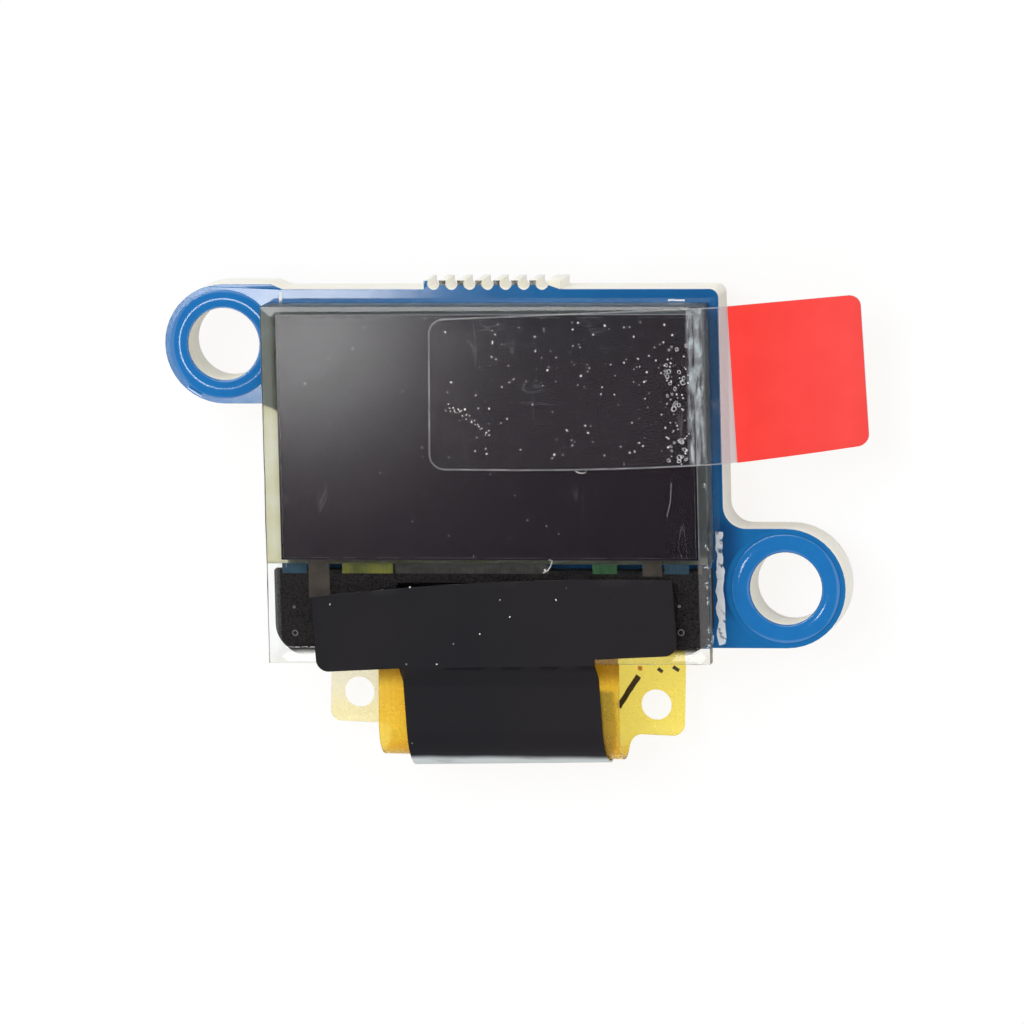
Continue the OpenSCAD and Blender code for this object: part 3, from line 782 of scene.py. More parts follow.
@dataclass(frozen=True)
class RedFilm(Finish):
    """The bright red grip, satin, a little paler towards its end."""

    start_x: float = 0.0
    end_x: float = 1.0
    name: str = "red_film"
    slot: str = "red_film"
    red: Colour = (0.98, 0.058, 0.046)
    paler: Colour = (0.99, 0.082, 0.074)

    def dress(self, surface: Surface) -> None:
        """Even red with a slow drift and a fine satin grain."""
        graph = surface.graph
        far = graph.fade(graph.split(surface.point)[0], self.start_x * MM, self.end_x * MM)
        cloud = surface.tones((0.97, 0.9, 0.9), (1.0, 1.0, 1.0), 0.9)
        surface.set(base_color=multiply(graph, graph.mix(far, self.red, self.paler), cloud),
                    roughness=graph.blend(surface.grain(6.0), 0.42, 0.52), specular_ior_level=0.12)
        surface.bump(surface.grain(12.0), 0.0012)


@dataclass(frozen=True)
class TapeSkin(Finish):
    """Black tape: satin and dusty, with a painted grey reflection where it turns over the fold."""

    fold_y: float = 0.0
    name: str = "tape_skin"
    slot: str = "black_tape"
    black: Colour = (0.0085, 0.0085, 0.0115)
    brownish: Colour = (0.0125, 0.0105, 0.0125)
    fold_reflection_grey: Colour = (0.62, 0.66, 0.67)

    def dress(self, surface: Surface) -> None:
        """Two near blacks, a painted reflection band along the fold and a leathery grain."""
        graph = surface.graph
        up = graph.split(surface.point)[1]
        rough_line = graph.math("ADD", up, graph.math("MULTIPLY", graph.math(
            "SUBTRACT", surface.grain(0.6), 0.5), 0.10 * MM))
        # Painted reflection: the grey band along the fold stands for the white surroundings mirrored where the tape
        # turns down.
        fold_reflection = graph.fade(rough_line, (self.fold_y + 0.24) * MM, (self.fold_y + 0.46) * MM, 1.0, 0.0)
        fold_reflection = graph.math("MULTIPLY", fold_reflection, graph.fade(surface.grain(2.2, (0.5, 2.5, 1.0)), 0.2, 0.5, 0.75, 1.0))
        dust = graph.effect(specks(), Point=surface.point, Scale=3.2 / MM, Size=0.12, Amount=0.03)
        shade = graph.mix(fold_reflection, surface.tones(self.black, self.brownish, 0.16), self.fold_reflection_grey)
        surface.set(base_color=graph.mix(graph.math("MULTIPLY", dust, 0.35), shade, (0.5, 0.5, 0.5)),
                    roughness=graph.blend(surface.grain(2.5), 0.42, 0.56), specular_ior_level=0.12)
        surface.bump(surface.grain(7.0), 0.003)


@dataclass(frozen=True)
class FoamSkin(Finish):
    """Black light-blocking foam with open pores."""

    name: str = "foam_skin"
    slot: str = "black_foam"
    black: Colour = (0.034, 0.028, 0.030)
    low_y: float = 0.0

    def dress(self, surface: Surface) -> None:
        """Pores that take the light away, and a lower edge that fades out."""
        graph = surface.graph
        # The lower edge fades to see-through.
        thin = graph.fade(graph.split(surface.point)[1], self.low_y * MM, (self.low_y + 0.24) * MM, 0.1, 1.0)
        pores = surface.graph.cells(surface.point, 14.0 / MM).outputs["Distance"]
        surface.set(base_color=graph.mix(graph.fade(pores, 0.1, 0.6), (0.004, 0.004, 0.004), self.black),
                    roughness=0.9, specular_ior_level=0.2, alpha=thin)
        surface.bump(pores, 0.01)


@dataclass(frozen=True)
class Polyimide(Finish):
    """Golden flexible circuit: deep over its copper, bright on the right tab, pale on the left one."""

    left_x: float = 0.0
    right_x: float = 1.0
    fold_y: float = 0.0
    name: str = "polyimide"
    slot: str = "flex"
    golden: Colour = (0.97, 0.66, 0.10)
    bright: Colour = (0.99, 0.83, 0.17)
    pale: Colour = (0.985, 0.935, 0.74)
    brown: Colour = (0.33, 0.17, 0.02)

    def dress(self, surface: Surface) -> None:
        """Zones of gold, copper lines that show through, a darker fold and a painted shadow where the front layer
        comes out from under the glass.
        """
        graph = surface.graph
        x, y, z = graph.split(surface.point)
        width = self.right_x - self.left_x
        to_right = graph.fade(x, (self.left_x + 0.10 * width) * MM, (self.left_x + 0.24 * width) * MM)
        low = graph.fade(y, (self.fold_y + 2.6) * MM, (self.fold_y + 1.2) * MM)
        tail = graph.mix(graph.math("MAXIMUM", to_right, graph.math("MULTIPLY", low, 0.35)), self.pale, self.bright)
        front = graph.fade(z, 0.15 * MM, 0.6 * MM)
        gold = graph.mix(front, tail, surface.tones(self.golden, (0.98, 0.74, 0.12), 0.5))
        lines = graph.math("MULTIPLY", graph.fade(surface.grain(1.6, (6.0, 0.0, 0.0)), 0.46, 0.54), front)
        gold = graph.mix(graph.math("MULTIPLY", lines, 0.07), gold, self.brown)
        # Painted shadow: the front layer darkens to brown at the glass's lower edge, where shade falls.
        shadow = graph.fade(y, (self.fold_y + 2.45) * MM, (self.fold_y + 3.05) * MM)
        gold = graph.mix(graph.math("MULTIPLY", shadow, graph.math("MULTIPLY", front, 0.75)), gold, self.brown)
        stain = graph.math("MULTIPLY", graph.fade(surface.grain(1.7), 0.58, 0.72), 0.15)
        surface.set(base_color=graph.mix(graph.math("MULTIPLY", stain, front), gold, self.brown),
                    roughness=graph.blend(surface.grain(2.0), 0.2, 0.34), specular_ior_level=0.3,
                    transmission_weight=0.8, ior=1.2)
        surface.bump(surface.grain(1.8, (1.0, 0.6, 1.0)), 0.004)


@dataclass(frozen=True)
class PlainFinish(Finish):
    """A finish of two close tones with a grain, for the many small plain things."""

    tone_a: Colour = (0.5, 0.5, 0.5)
    tone_b: Colour = (0.5, 0.5, 0.5)
    rough_low: float = 0.4
    rough_high: float = 0.6
    metallic: float = 0.0
    scale: float = 2.0
    relief: float = 0.003
    cover: float = 1.0

    def dress(self, surface: Surface) -> None:
        """Drifting tones, uneven gloss and a fine relief."""
        surface.set(base_color=surface.tones(self.tone_a, self.tone_b, self.scale),
                    roughness=surface.graph.blend(surface.grain(self.scale * 2), self.rough_low, self.rough_high),
                    metallic=self.metallic)
        if self.cover < 1.0:
            surface.set(alpha=self.cover)
        surface.bump(surface.grain(self.scale * 3), self.relief)


class Stock(Enum):
    """The plain finishes by what they are."""

    SOLDER = PlainFinish("solder_joint", "solder", (0.60, 0.61, 0.63), (0.74, 0.75, 0.77), 0.16, 0.36, 1.0, 3.0)
    TIN = PlainFinish("tinned_end", "solder", (0.56, 0.56, 0.57), (0.70, 0.70, 0.71), 0.3, 0.5, 1.0, 5.0)
    CERAMIC = PlainFinish("chip_ceramic", "ceramic_chip", (0.42, 0.29, 0.17), (0.52, 0.38, 0.23), 0.5, 0.7, 0.0, 4.0)
    RESISTOR = PlainFinish("resistor_glaze", "resistor_chip", (0.016, 0.016, 0.018), (0.03, 0.03, 0.032), 0.25, 0.4,
                           0.0, 6.0)
    ALUMINA = PlainFinish("resistor_alumina", "resistor_chip", (0.72, 0.72, 0.70), (0.82, 0.82, 0.80), 0.5, 0.7,
                          0.0, 6.0)
    MOULDED = PlainFinish("moulding_compound", "moulded_black", (0.018, 0.018, 0.019), (0.032, 0.032, 0.033), 0.5,
                          0.7, 0.0, 6.0)
    LASER_GREY = PlainFinish("laser_mark", "moulded_black", (0.24, 0.24, 0.24), (0.30, 0.30, 0.30), 0.6, 0.8, 0.0, 8.0)
    SILICON = PlainFinish("silicon_die", "silicon", (0.06, 0.06, 0.07), (0.10, 0.10, 0.11), 0.1, 0.2, 0.4, 2.0)
    CATHODE = PlainFinish("mirror_cathode", "emitter", (0.50, 0.50, 0.53), (0.58, 0.58, 0.60), 0.04, 0.08, 1.0, 1.0,
                          0.0005)
    ADHESIVE = PlainFinish("adhesive_foam", "white_adhesive", (0.80, 0.80, 0.78), (0.88, 0.88, 0.86), 0.5, 0.7)
    COPPER_MARK = PlainFinish("covered_copper", "flex", (0.035, 0.026, 0.010), (0.075, 0.050, 0.015), 0.3, 0.45, 0.0,
                              3.0)
    # Painted highlight on the flex, not a stain.
    RUST_SPOT = PlainFinish("amber_spot", "flex", (0.85, 0.26, 0.03), (0.9, 0.42, 0.08), 0.3, 0.45, 0.0, 4.0)
    BROWN_METAL = PlainFinish("brown_conductor", "panel_glass", (0.070, 0.050, 0.042), (0.10, 0.075, 0.06), 0.3, 0.4,
                              0.0, 2.5)
    GREY_METAL = PlainFinish("grey_conductor", "panel_glass", (0.20, 0.19, 0.185), (0.30, 0.29, 0.28), 0.3, 0.4,
                             0.0, 5.0)
    DIM_METAL = PlainFinish("dim_conductor", "panel_glass", (0.050, 0.045, 0.042), (0.085, 0.075, 0.07), 0.3, 0.4,
                            0.0, 5.0)
    BUBBLE = PlainFinish("bubble_rim", "clear_film", (0.55, 0.55, 0.56), (0.80, 0.80, 0.80), 0.2, 0.4, 0.0, 6.0,
                         0.002, 0.55)
    DUST = PlainFinish("dust_flakes", "clear_film", (0.75, 0.73, 0.72), (0.97, 0.96, 0.94), 0.6, 0.8, 0.0, 4.0,
                       0.002, 0.85)
    SCRATCH = PlainFinish("faint_scratch", "clear_film", (0.45, 0.45, 0.46), (0.70, 0.70, 0.70), 0.4, 0.6, 0.0, 6.0,
                          0.002, 0.3)
    # White flakes: chips of glass, partly painted glints.
    CHIP = PlainFinish("glass_chip", "panel_glass", (0.80, 0.84, 0.86), (0.99, 0.99, 0.99), 0.2, 0.4, 0.0, 6.0)
    SHEET_EDGE = PlainFinish("polarizer_edge", "polarizer", (0.30, 0.30, 0.33), (0.46, 0.46, 0.49), 0.3, 0.5, 0.0,
                             3.0)
    BLUE_LEAD = PlainFinish("blue_lead", "panel_glass", (0.02, 0.07, 0.12), (0.03, 0.10, 0.17), 0.3, 0.4, 0.0, 5.0)
    OLIVE_LEAD = PlainFinish("olive_lead", "panel_glass", (0.10, 0.11, 0.02), (0.30, 0.29, 0.03), 0.3, 0.4, 0.0, 1.2)
    GREEN_LEAD = PlainFinish("green_lead", "panel_glass", (0.03, 0.12, 0.04), (0.05, 0.18, 0.06), 0.3, 0.4, 0.0, 5.0)
    PEACH = PlainFinish("adhesive_bead", "clear_film", (0.95, 0.62, 0.52), (0.98, 0.78, 0.70), 0.3, 0.5, 0.0, 4.0,
                        0.002, 0.85)


def finish(piece: bpy.types.Object, finishes: Sequence[Finish | Stock], replaced: Sequence[str] = ()) -> None:
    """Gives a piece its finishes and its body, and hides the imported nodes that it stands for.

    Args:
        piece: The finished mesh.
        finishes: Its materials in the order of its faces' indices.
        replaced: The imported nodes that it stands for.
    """
    chosen = [f.value if isinstance(f, Stock) else f for f in finishes]
    for one in chosen:
        piece.data.materials.append(one.material())
    if replaced:
        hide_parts(*replaced)
    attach(piece, BODY)
    LOG.info("made %s: %d faces", piece.name, len(piece.data.polygons))


def redress(node: str, finish_kept: Finish | Stock) -> None:
    """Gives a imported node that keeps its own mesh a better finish."""
    chosen = finish_kept.value if isinstance(finish_kept, Stock) else finish_kept
    piece = frame["nodes"][node]
    piece.data.materials.clear()
    piece.data.materials.append(chosen.material())
    LOG.info("dressed %s", node)


# ---- Small things that several sub-assemblies use ----


def hair(name: str, points: Sequence[Sequence[float]], radius: float) -> bpy.types.Object:
    """A fine fibre, drawn out of a small disc along points given in millimetres."""
    path = [Vector(p) * MM for p in points]
    start = (path[1] - path[0]).to_track_quat("Z", "Y").to_euler()
    bpy.ops.object.select_all(action="DESELECT")
    bpy.ops.mesh.primitive_circle_add(vertices=6, radius=radius * MM, fill_type="NGON", location=path[0], rotation=start)
    piece = settle(bpy.context.object, name)
    with editing(piece):
        bpy.ops.mesh.select_all(action="SELECT")
        for before, after in zip(path, path[1:]):
            bpy.ops.mesh.extrude_region_move(TRANSFORM_OT_translate={"value": after - before})
        bpy.ops.mesh.select_all(action="SELECT")
        bpy.ops.mesh.normals_make_consistent(inside=False)
    return piece


def plate(name: str, low: Sequence[float], high: Sequence[float], height: float, ragged: float = 0.0,
          cell: float = 0.12, seed: int = 1) -> bpy.types.Object:
    """A thin plate with edges that may be ragged.

    Args:
        name: The new piece's name.
        low: Its lowest corner, in millimetres.
        high: The other corner's X and Y.
        height: Its thickness.
        ragged: How far its edge wanders in and out.
        cell: The length of its edge's steps.
        seed: Which of the possible edges.

    Returns:
        The plate.
    """
    top = (high[0], high[1], low[2] + height)
    piece = new_block(name, Vector(low) * MM, Vector(top) * MM)
    if ragged:
        for axis in (0, 1):
            if high[axis] - low[axis] > 2 * cell:
                cut_grid(piece, axis, cell)
        with editing(piece) as mesh:
            for vertex in mesh.verts:
                at = Vector((vertex.co.x, vertex.co.y, seed * MM)) / (2.2 * cell * MM)
                vertex.co.x += ragged * MM * noise.noise(at)
                vertex.co.y += ragged * MM * noise.noise(at + Vector((7.0, 3.0, 0)))
    return piece


def bar_between(name: str, start: Sequence[float], end: Sequence[float], width: float, height: float,
                ragged: float = 0.0) -> bpy.types.Object:
    """A thin bar laid between two points at the first one's height. All lengths are in millimetres."""
    run = Vector((end[0] - start[0], end[1] - start[1], 0))
    piece = plate(name, (0, -width / 2, 0), (run.length, width / 2), height, ragged)
    piece.data.transform(place(start[0], start[1], start[2], math.degrees(math.atan2(run.y, run.x))))
    return piece


def flakes(prefix: str, radius: float, count: int = 3) -> list[bpy.types.Object]:
    """A few different flakes of dust, to be spread."""
    return [new_flake(f"{prefix}_{i}", radius * MM, i + 1) for i in range(count)]


# ---- The board ----


@dataclass
class BoardAssembly:
    """The blue board with its collars, print, torn tab and what its back shows."""

    edge_round: float = 0.025
    collar_radius: float = 1.77
    collar_height: float = 0.055
    collar_lip: float = 0.03
    tab_span: tuple[float, float] = (-2.3, 1.5)
    print_height: float = 0.012
    via_radius: float = 0.22
    track_width: float = 0.16
    box: Box = field(default_factory=lambda: Box.of("circuit_board"))
    glass: Box = field(default_factory=lambda: Box.of("front_glass"))

    @property
    def top(self) -> float:
        """The height of the board's face, in millimetres."""
        return self.box.high.z / MM

    def build(self) -> None:
        """Makes every piece of the board."""
        self.build_body()
        self.build_collars()
        self.build_print()
        self.build_back_copper()

    def build_body(self) -> None:
        """The board itself: lacquered faces, sawn walls and torn stubs."""
        piece = copy_node("circuit_board", "board_body")
        upper = self.box.high.y - 0.24 * MM
        with editing(piece):
            bpy.ops.mesh.select_all(action="SELECT")
            bpy.ops.mesh.bisect(plane_co=(0, upper, 0), plane_no=(0, 1, 0))
        round_edges(piece, self.edge_round, 2, 40)
        paint(piece, 1, lambda at, normal: abs(normal.z) < 0.3)
        first, last = (x * MM for x in self.tab_span)
        paint(piece, 2, lambda at, normal: at.y > upper and first < at.x < last and normal.z > 0.3)
        paint(piece, 1, lambda at, normal: at.y > upper and last < at.x < last + 1.2 * MM)
        smooth(piece, 35)
        right = hole_centres()[1]
        # The patches left of the right ear are painted shade beside its ring.
        mask = SolderMask(holes=tuple((h.x / MM, h.y / MM) for h in hole_centres()),
                          shade_patches=((right.x / MM - 1.9, right.y / MM + 1.4), (right.x / MM - 1.9, right.y / MM)))
        finish(piece, [mask, Laminate(), TornFibre()], ["circuit_board"])

    def build_collars(self) -> None:
        """The raised copper rings round the ear holes, under the lacquer, on both faces."""
        rings = []
        for i, hole in enumerate(hole_centres()):
            for low in (self.box.high.z - 0.008 * MM, self.box.low.z - (self.collar_height - 0.008) * MM):
                at = Vector((hole.x, hole.y, low))
                ring = new_disc(f"collar_{i}", at, self.collar_radius * MM, self.collar_height * MM, 64)
                with editing(ring) as mesh:
                    for face in mesh.faces:
                        face.select_set(abs(face.normal.z) > 0.9)
                    bpy.ops.mesh.inset(thickness=self.collar_radius * MM - hole_radius() - self.collar_lip * MM)
                    bpy.ops.mesh.bridge_edge_loops()
                round_edges(ring, 0.045, 4, 40)
                rings.append(ring)
        piece = join("hole_collars", rings)
        smooth(piece, 35)
        finish(piece, [SolderMask(name="solder_mask_collar", copper_share=1.0, over_copper=(0.016, 0.178, 0.490))])

    def build_print(self) -> None:
        """Plain bars of print beside the panel and at the top edge, and painted glints: dashes under the glass's right
        edge and a short line along its top edge.
        """
        right = self.glass.high.x / MM
        z = self.top - 0.002
        bars = [bar_between("print_edge", (right + 0.18, -2.12, z), (right + 0.20, -5.80, z), 0.25,
                            self.print_height, 0.075)]
        # Partly painted glints, partly white chips: these dashes stand for the broken bright line along the glass's
        # right edge.
        for start, end in ((-3.01, -3.53), (-3.69, -3.95), (-4.12, -4.34), (-5.03, -5.32), (-5.49, -5.78)):
            bars.append(plate("print_dash", (right - 0.30, end, z), (right - 0.09, start), self.print_height, 0.05))
        top_edge = self.glass.high.y / MM
        bars.append(bar_between("print_tick", (-7.22, top_edge + 0.36, z), (-7.22, top_edge - 0.08, z), 0.10,
                                self.print_height, 0.02))
        # Painted glint: this short line along the top edge stands for a glint, not print.
        bars.append(bar_between("print_line", (5.50, top_edge + 0.065, z), (6.05, top_edge + 0.065, z), 0.06,
                                self.print_height, 0.02))
        piece = join("board_print", bars)
        finish(piece, [SilkInk()])

    def build_back_copper(self) -> None:
        """Tracks and plated vias under the lacquer on the back."""
        low = self.box.low.z / MM - 0.018
        tracks = []
        for start, end in self.track_runs():
            tracks.append(bar_between("track", (*start, low), (*end, low), self.track_width, 0.024))
        copper = join("back_tracks", tracks)
        round_edges(copper, 0.008, 1, 40)
        finish(copper, [SolderMask(name="solder_mask_track", copper_share=1.0, holes=())])
        vias = []
        for x, y in self.via_places():
            via = new_disc("via", Vector((x, y, low)) * MM, self.via_radius * MM, 0.024 * MM, 24)
            with editing(via) as mesh:
                for face in mesh.faces:
                    face.select_set(face.normal.z < -0.9)
                bpy.ops.mesh.inset(thickness=0.09 * MM)
                bpy.ops.mesh.inset(thickness=0.03 * MM, depth=-0.015 * MM)
            vias.append(via)
        piece = join("back_vias", vias)
        smooth(piece, 35)
        finish(piece, [SolderMask(name="solder_mask_via", copper_share=1.0, holes=())])

    def via_places(self) -> list[tuple[float, float]]:
        """Where the vias are: two columns between the tall parts and a row above the tail."""
        columns = [(side * 4.3, y) for side in (-1, 1) for y in (2.4, 0.3, -2.0)]
        row = [(i * 1.9, 0.9) for i in (-1, 0, 1)]
        return columns + row

    def track_runs(self) -> list[tuple[tuple[float, float], tuple[float, float]]]:
        """The tracks: from each via towards the parts that it serves."""
        runs = []
        for x, y in self.via_places():
            outward = 1 if x > 0 else -1
            runs.append(((x, y), (x + 0.75 * outward, y - 0.75)))
            runs.append(((x + 0.75 * outward, y - 0.75), (x + 0.75 * outward, y - 1.5)))
        return runs


# ---- The panel ----


@dataclass
class PanelAssembly:
    """The glass panel: two glasses, glue, polarizer, film and what shows through the ledge."""

    edge_round: float = 0.018
    edge_wander: float = 0.014
    edge_cell: float = 0.5
    mark_height: float = 0.005
    lowered: float = 0.012
    # Runs of white flakes along the right edge, partly chips and partly painted glints.
    chip_runs: tuple[tuple[float, float, int], ...] = (
        (-3.45, -2.95, 9), (-3.95, -3.65, 6), (-4.35, -4.10, 5), (-5.30, -5.02, 7), (-5.75, -5.45, 7), (-2.9, 4.8, 14))
    glass: Box = field(default_factory=lambda: Box.of("front_glass"))
    cap: Box = field(default_factory=lambda: Box.of("cap_glass"))
    sheet: Box = field(default_factory=lambda: Box.of("polarizer"))

    def build(self) -> None:
        """Makes every piece of the panel."""
        self.build_front_glass()
        self.build_cap_glass()
        self.build_seal()
        self.build_polarizer()
        self.build_film()
        self.build_conductors()
        self.build_ledge_marks()
        redress("emitter_layers", Stock.CATHODE)
        redress("getter_sheet", Stock.ADHESIVE)
        redress("mounting_tape", Stock.ADHESIVE)

    def roughen_rim(self, piece: bpy.types.Object, box: Box) -> None:
        """Lets a pane's outer walls wander in and out, as scribed glass does."""
        for axis in (0, 1):
            cut_grid(piece, axis, self.edge_cell)
        near = 0.002 * MM
        with editing(piece) as mesh:
            for vertex in mesh.verts:
                shake = self.edge_wander * MM * noise.noise(vertex.co / (0.8 * MM))
                if min(abs(vertex.co.x - box.low.x), abs(vertex.co.x - box.high.x)) < near:
                    vertex.co.x += shake
                if min(abs(vertex.co.y - box.low.y), abs(vertex.co.y - box.high.y)) < near:
                    vertex.co.y += shake

    def build_front_glass(self) -> None:
        """The front glass, with scribed walls."""
        piece = copy_node("front_glass", "front_pane")
        self.roughen_rim(piece, self.glass)
        round_edges(piece, self.edge_round, 2, 50)
        paint(piece, 1, lambda at, normal: abs(normal.z) < 0.8)
        smooth(piece, 30)
        low = self.glass.low.y / MM
        # The lower corners take the glue residue and its painted shadow.
        corners = tuple((x, low) for x in (self.glass.low.x / MM + 0.9, self.glass.high.x / MM - 0.7))
        finish(piece, [ClearGlass(corners=corners), CutGlass()], ["front_glass"])
        self.build_chips()

    def build_chips(self) -> None:
        """White flakes on the right wall's upper edge and one lower corner: chips of glass, partly painted glints
        along the edge.
        """
        draw = random.Random(31)
        x, z = self.glass.high.x / MM, self.glass.high.z / MM
        places = []
        for low, high, count in self.chip_runs:
            for _ in range(count):
                size = draw.uniform(0.6, 1.5)
                places.append(place(x - draw.uniform(0.0, 0.10), draw.uniform(low, high), z - draw.uniform(0, 0.25),
                                    draw.uniform(0, 360), (0.6 * size, 1.3 * size, 1)))
        for dx, dy in ((-0.16, 0.03), (-0.08, 0.02), (-0.05, 0.07)):
            places.append(place(x + dx, self.glass.low.y / MM + dy, z, 40, (1.0, 0.7, 1)))
        finish(spread("edge_chips", flakes("chip", 0.035), places), [Stock.CHIP])

    def build_cap_glass(self) -> None:
        """The glass cap, a hair smaller in height so that it doesn't lie in the glue's own faces."""
        piece = copy_node("cap_glass", "cap_pane")
        with editing(piece) as mesh:
            for vertex in mesh.verts:
                if vertex.co.z > self.cap.high.z - EASE:
                    vertex.co.z -= EASE
        round_edges(piece, self.edge_round, 2, 50)
        paint(piece, 1, lambda at, normal: abs(normal.z) < 0.8)
        smooth(piece, 30)
        finish(piece, [ClearGlass(name="clear_cap_glass"), CutGlass()], ["cap_glass"])

    def build_seal(self) -> None:
        """The glue line, with a wandering inner edge."""
        piece = copy_node("seal_frame", "glue_line")
        high = Box.of("seal_frame").high.z
        for axis in (0, 1):
            cut_grid(piece, axis, 0.4)
        with editing(piece) as mesh:
            for vertex in mesh.verts:
                if vertex.co.z > high - EASE:
                    vertex.co.z -= self.lowered * MM
                inner = Vector((vertex.co.x - self.cap.centre.x, vertex.co.y - self.cap.centre.y, 0))
                if abs(inner.x) < self.cap.size.x / 2 - 0.3 * MM and abs(inner.y) < self.cap.size.y / 2 - 0.3 * MM:
                    vertex.co += inner.normalized() * 0.05 * MM * noise.noise(vertex.co / (0.5 * MM))
        finish(piece, [Glue()], ["seal_frame"])

    def build_polarizer(self) -> None:
        """The polarizer, cut clean, with a fine round to its edge."""
        piece = copy_node("polarizer", "polarizer_sheet")
        with editing(piece) as mesh:
            for vertex in mesh.verts:
                if vertex.co.z < self.sheet.centre.z:
                    vertex.co.z += EASE
        round_edges(piece, 0.012, 2, 50)
        paint(piece, 1, lambda at, normal: abs(normal.z) < 0.5)
        smooth(piece, 30)
        finish(piece, [PolarizerSheet(), Stock.SHEET_EDGE], ["polarizer"])

    def build_film(self) -> None:
        """The clear film on the polarizer."""
        piece = copy_node("protective_film", "clear_cover")
        with editing(piece) as mesh:
            for vertex in mesh.verts:
                vertex.co.z += EASE / 2
        paint(piece, 1, lambda at, normal: abs(normal.z) < 0.5)
        finish(piece, [ClearFilm(), LabelEdge()], ["protective_film"])

    def build_conductors(self) -> None:
        """Metal strips on the back of the ledge, seen through the glass."""
        z = self.glass.low.z / MM - self.mark_height - 0.003
        left, bottom, cap_low = self.glass.low.x / MM, self.glass.low.y / MM, self.cap.low.y / MM
        blocks = [
            plate("conductor_left", (left + 1.315, bottom + 2.084, z), (left + 2.007, cap_low + 0.189), self.mark_height),
            plate("conductor_right", (left + 12.295, bottom + 2.814, z), (left + 12.935, cap_low + 0.229),
                  self.mark_height),
        ]
        piece = join("ledge_conductors", blocks)
        finish(piece, [Stock.BROWN_METAL])
        self.build_fanout(z - self.mark_height, left, cap_low)

    def build_fanout(self, z: float, left: float, cap_low: float) -> None:
        """The row of short leads under the panel's lower edge, in their several tints."""
        rows = {
            Stock.BLUE_LEAD: ((0.45, 1.27), (13.01, 13.75)),
            Stock.OLIVE_LEAD: ((2.43, 4.10),),
            Stock.DIM_METAL: ((4.10, 9.22),),
            Stock.GREEN_LEAD: ((10.66, 11.47),),
            Stock.BROWN_METAL: ((14.09, 14.24),),
        }
        for stock, spans in rows.items():
            leads = []
            for start, end in spans:
                x = start
                while x < end - 0.05:
                    leads.append(plate("lead", (left + x, cap_low - 0.31, z), (left + x + 0.128, cap_low + 0.02),
                                       self.mark_height))
                    x += 0.135
            piece = join(f"{stock.name.lower()}_row", leads)
            finish(piece, [stock])

    def build_ledge_marks(self) -> None:
        """Plain dots and rings that line the panel up."""
        z = self.glass.low.z / MM - self.mark_height - 0.003
        left, right, bottom = self.glass.low.x / MM, self.glass.high.x / MM, self.glass.low.y / MM
        dots = []
        for x, y, radius in ((left + 0.81, bottom + 1.785, 0.05), (right - 1.03, bottom + 1.845, 0.05)):
            dots.append(self.ring_mark(x, y, z, radius, 0.04))
        for x, y, radius in ((left + 0.82, bottom + 0.935, 0.10), (right - 0.99, bottom + 0.995, 0.11)):
            dots.append(self.ring_mark(x, y, z, radius, 0.035))
        piece = join("ledge_marks", dots)
        finish(piece, [Stock.GREY_METAL])

    def ring_mark(self, x: float, y: float, z: float, radius: float, width: float) -> bpy.types.Object:
        """A small printed ring. Lengths are in millimetres."""
        piece = new_disc("mark", Vector((x, y, z)) * MM, radius * MM, self.mark_height * MM, 24)
        with editing(piece) as mesh:
            for face in mesh.faces:
                face.select_set(abs(face.normal.z) > 0.9)
            bpy.ops.mesh.inset(thickness=min(width, radius * 0.7) * MM)
            bpy.ops.mesh.bridge_edge_loops()
        return piece


# ---- The pull label ----


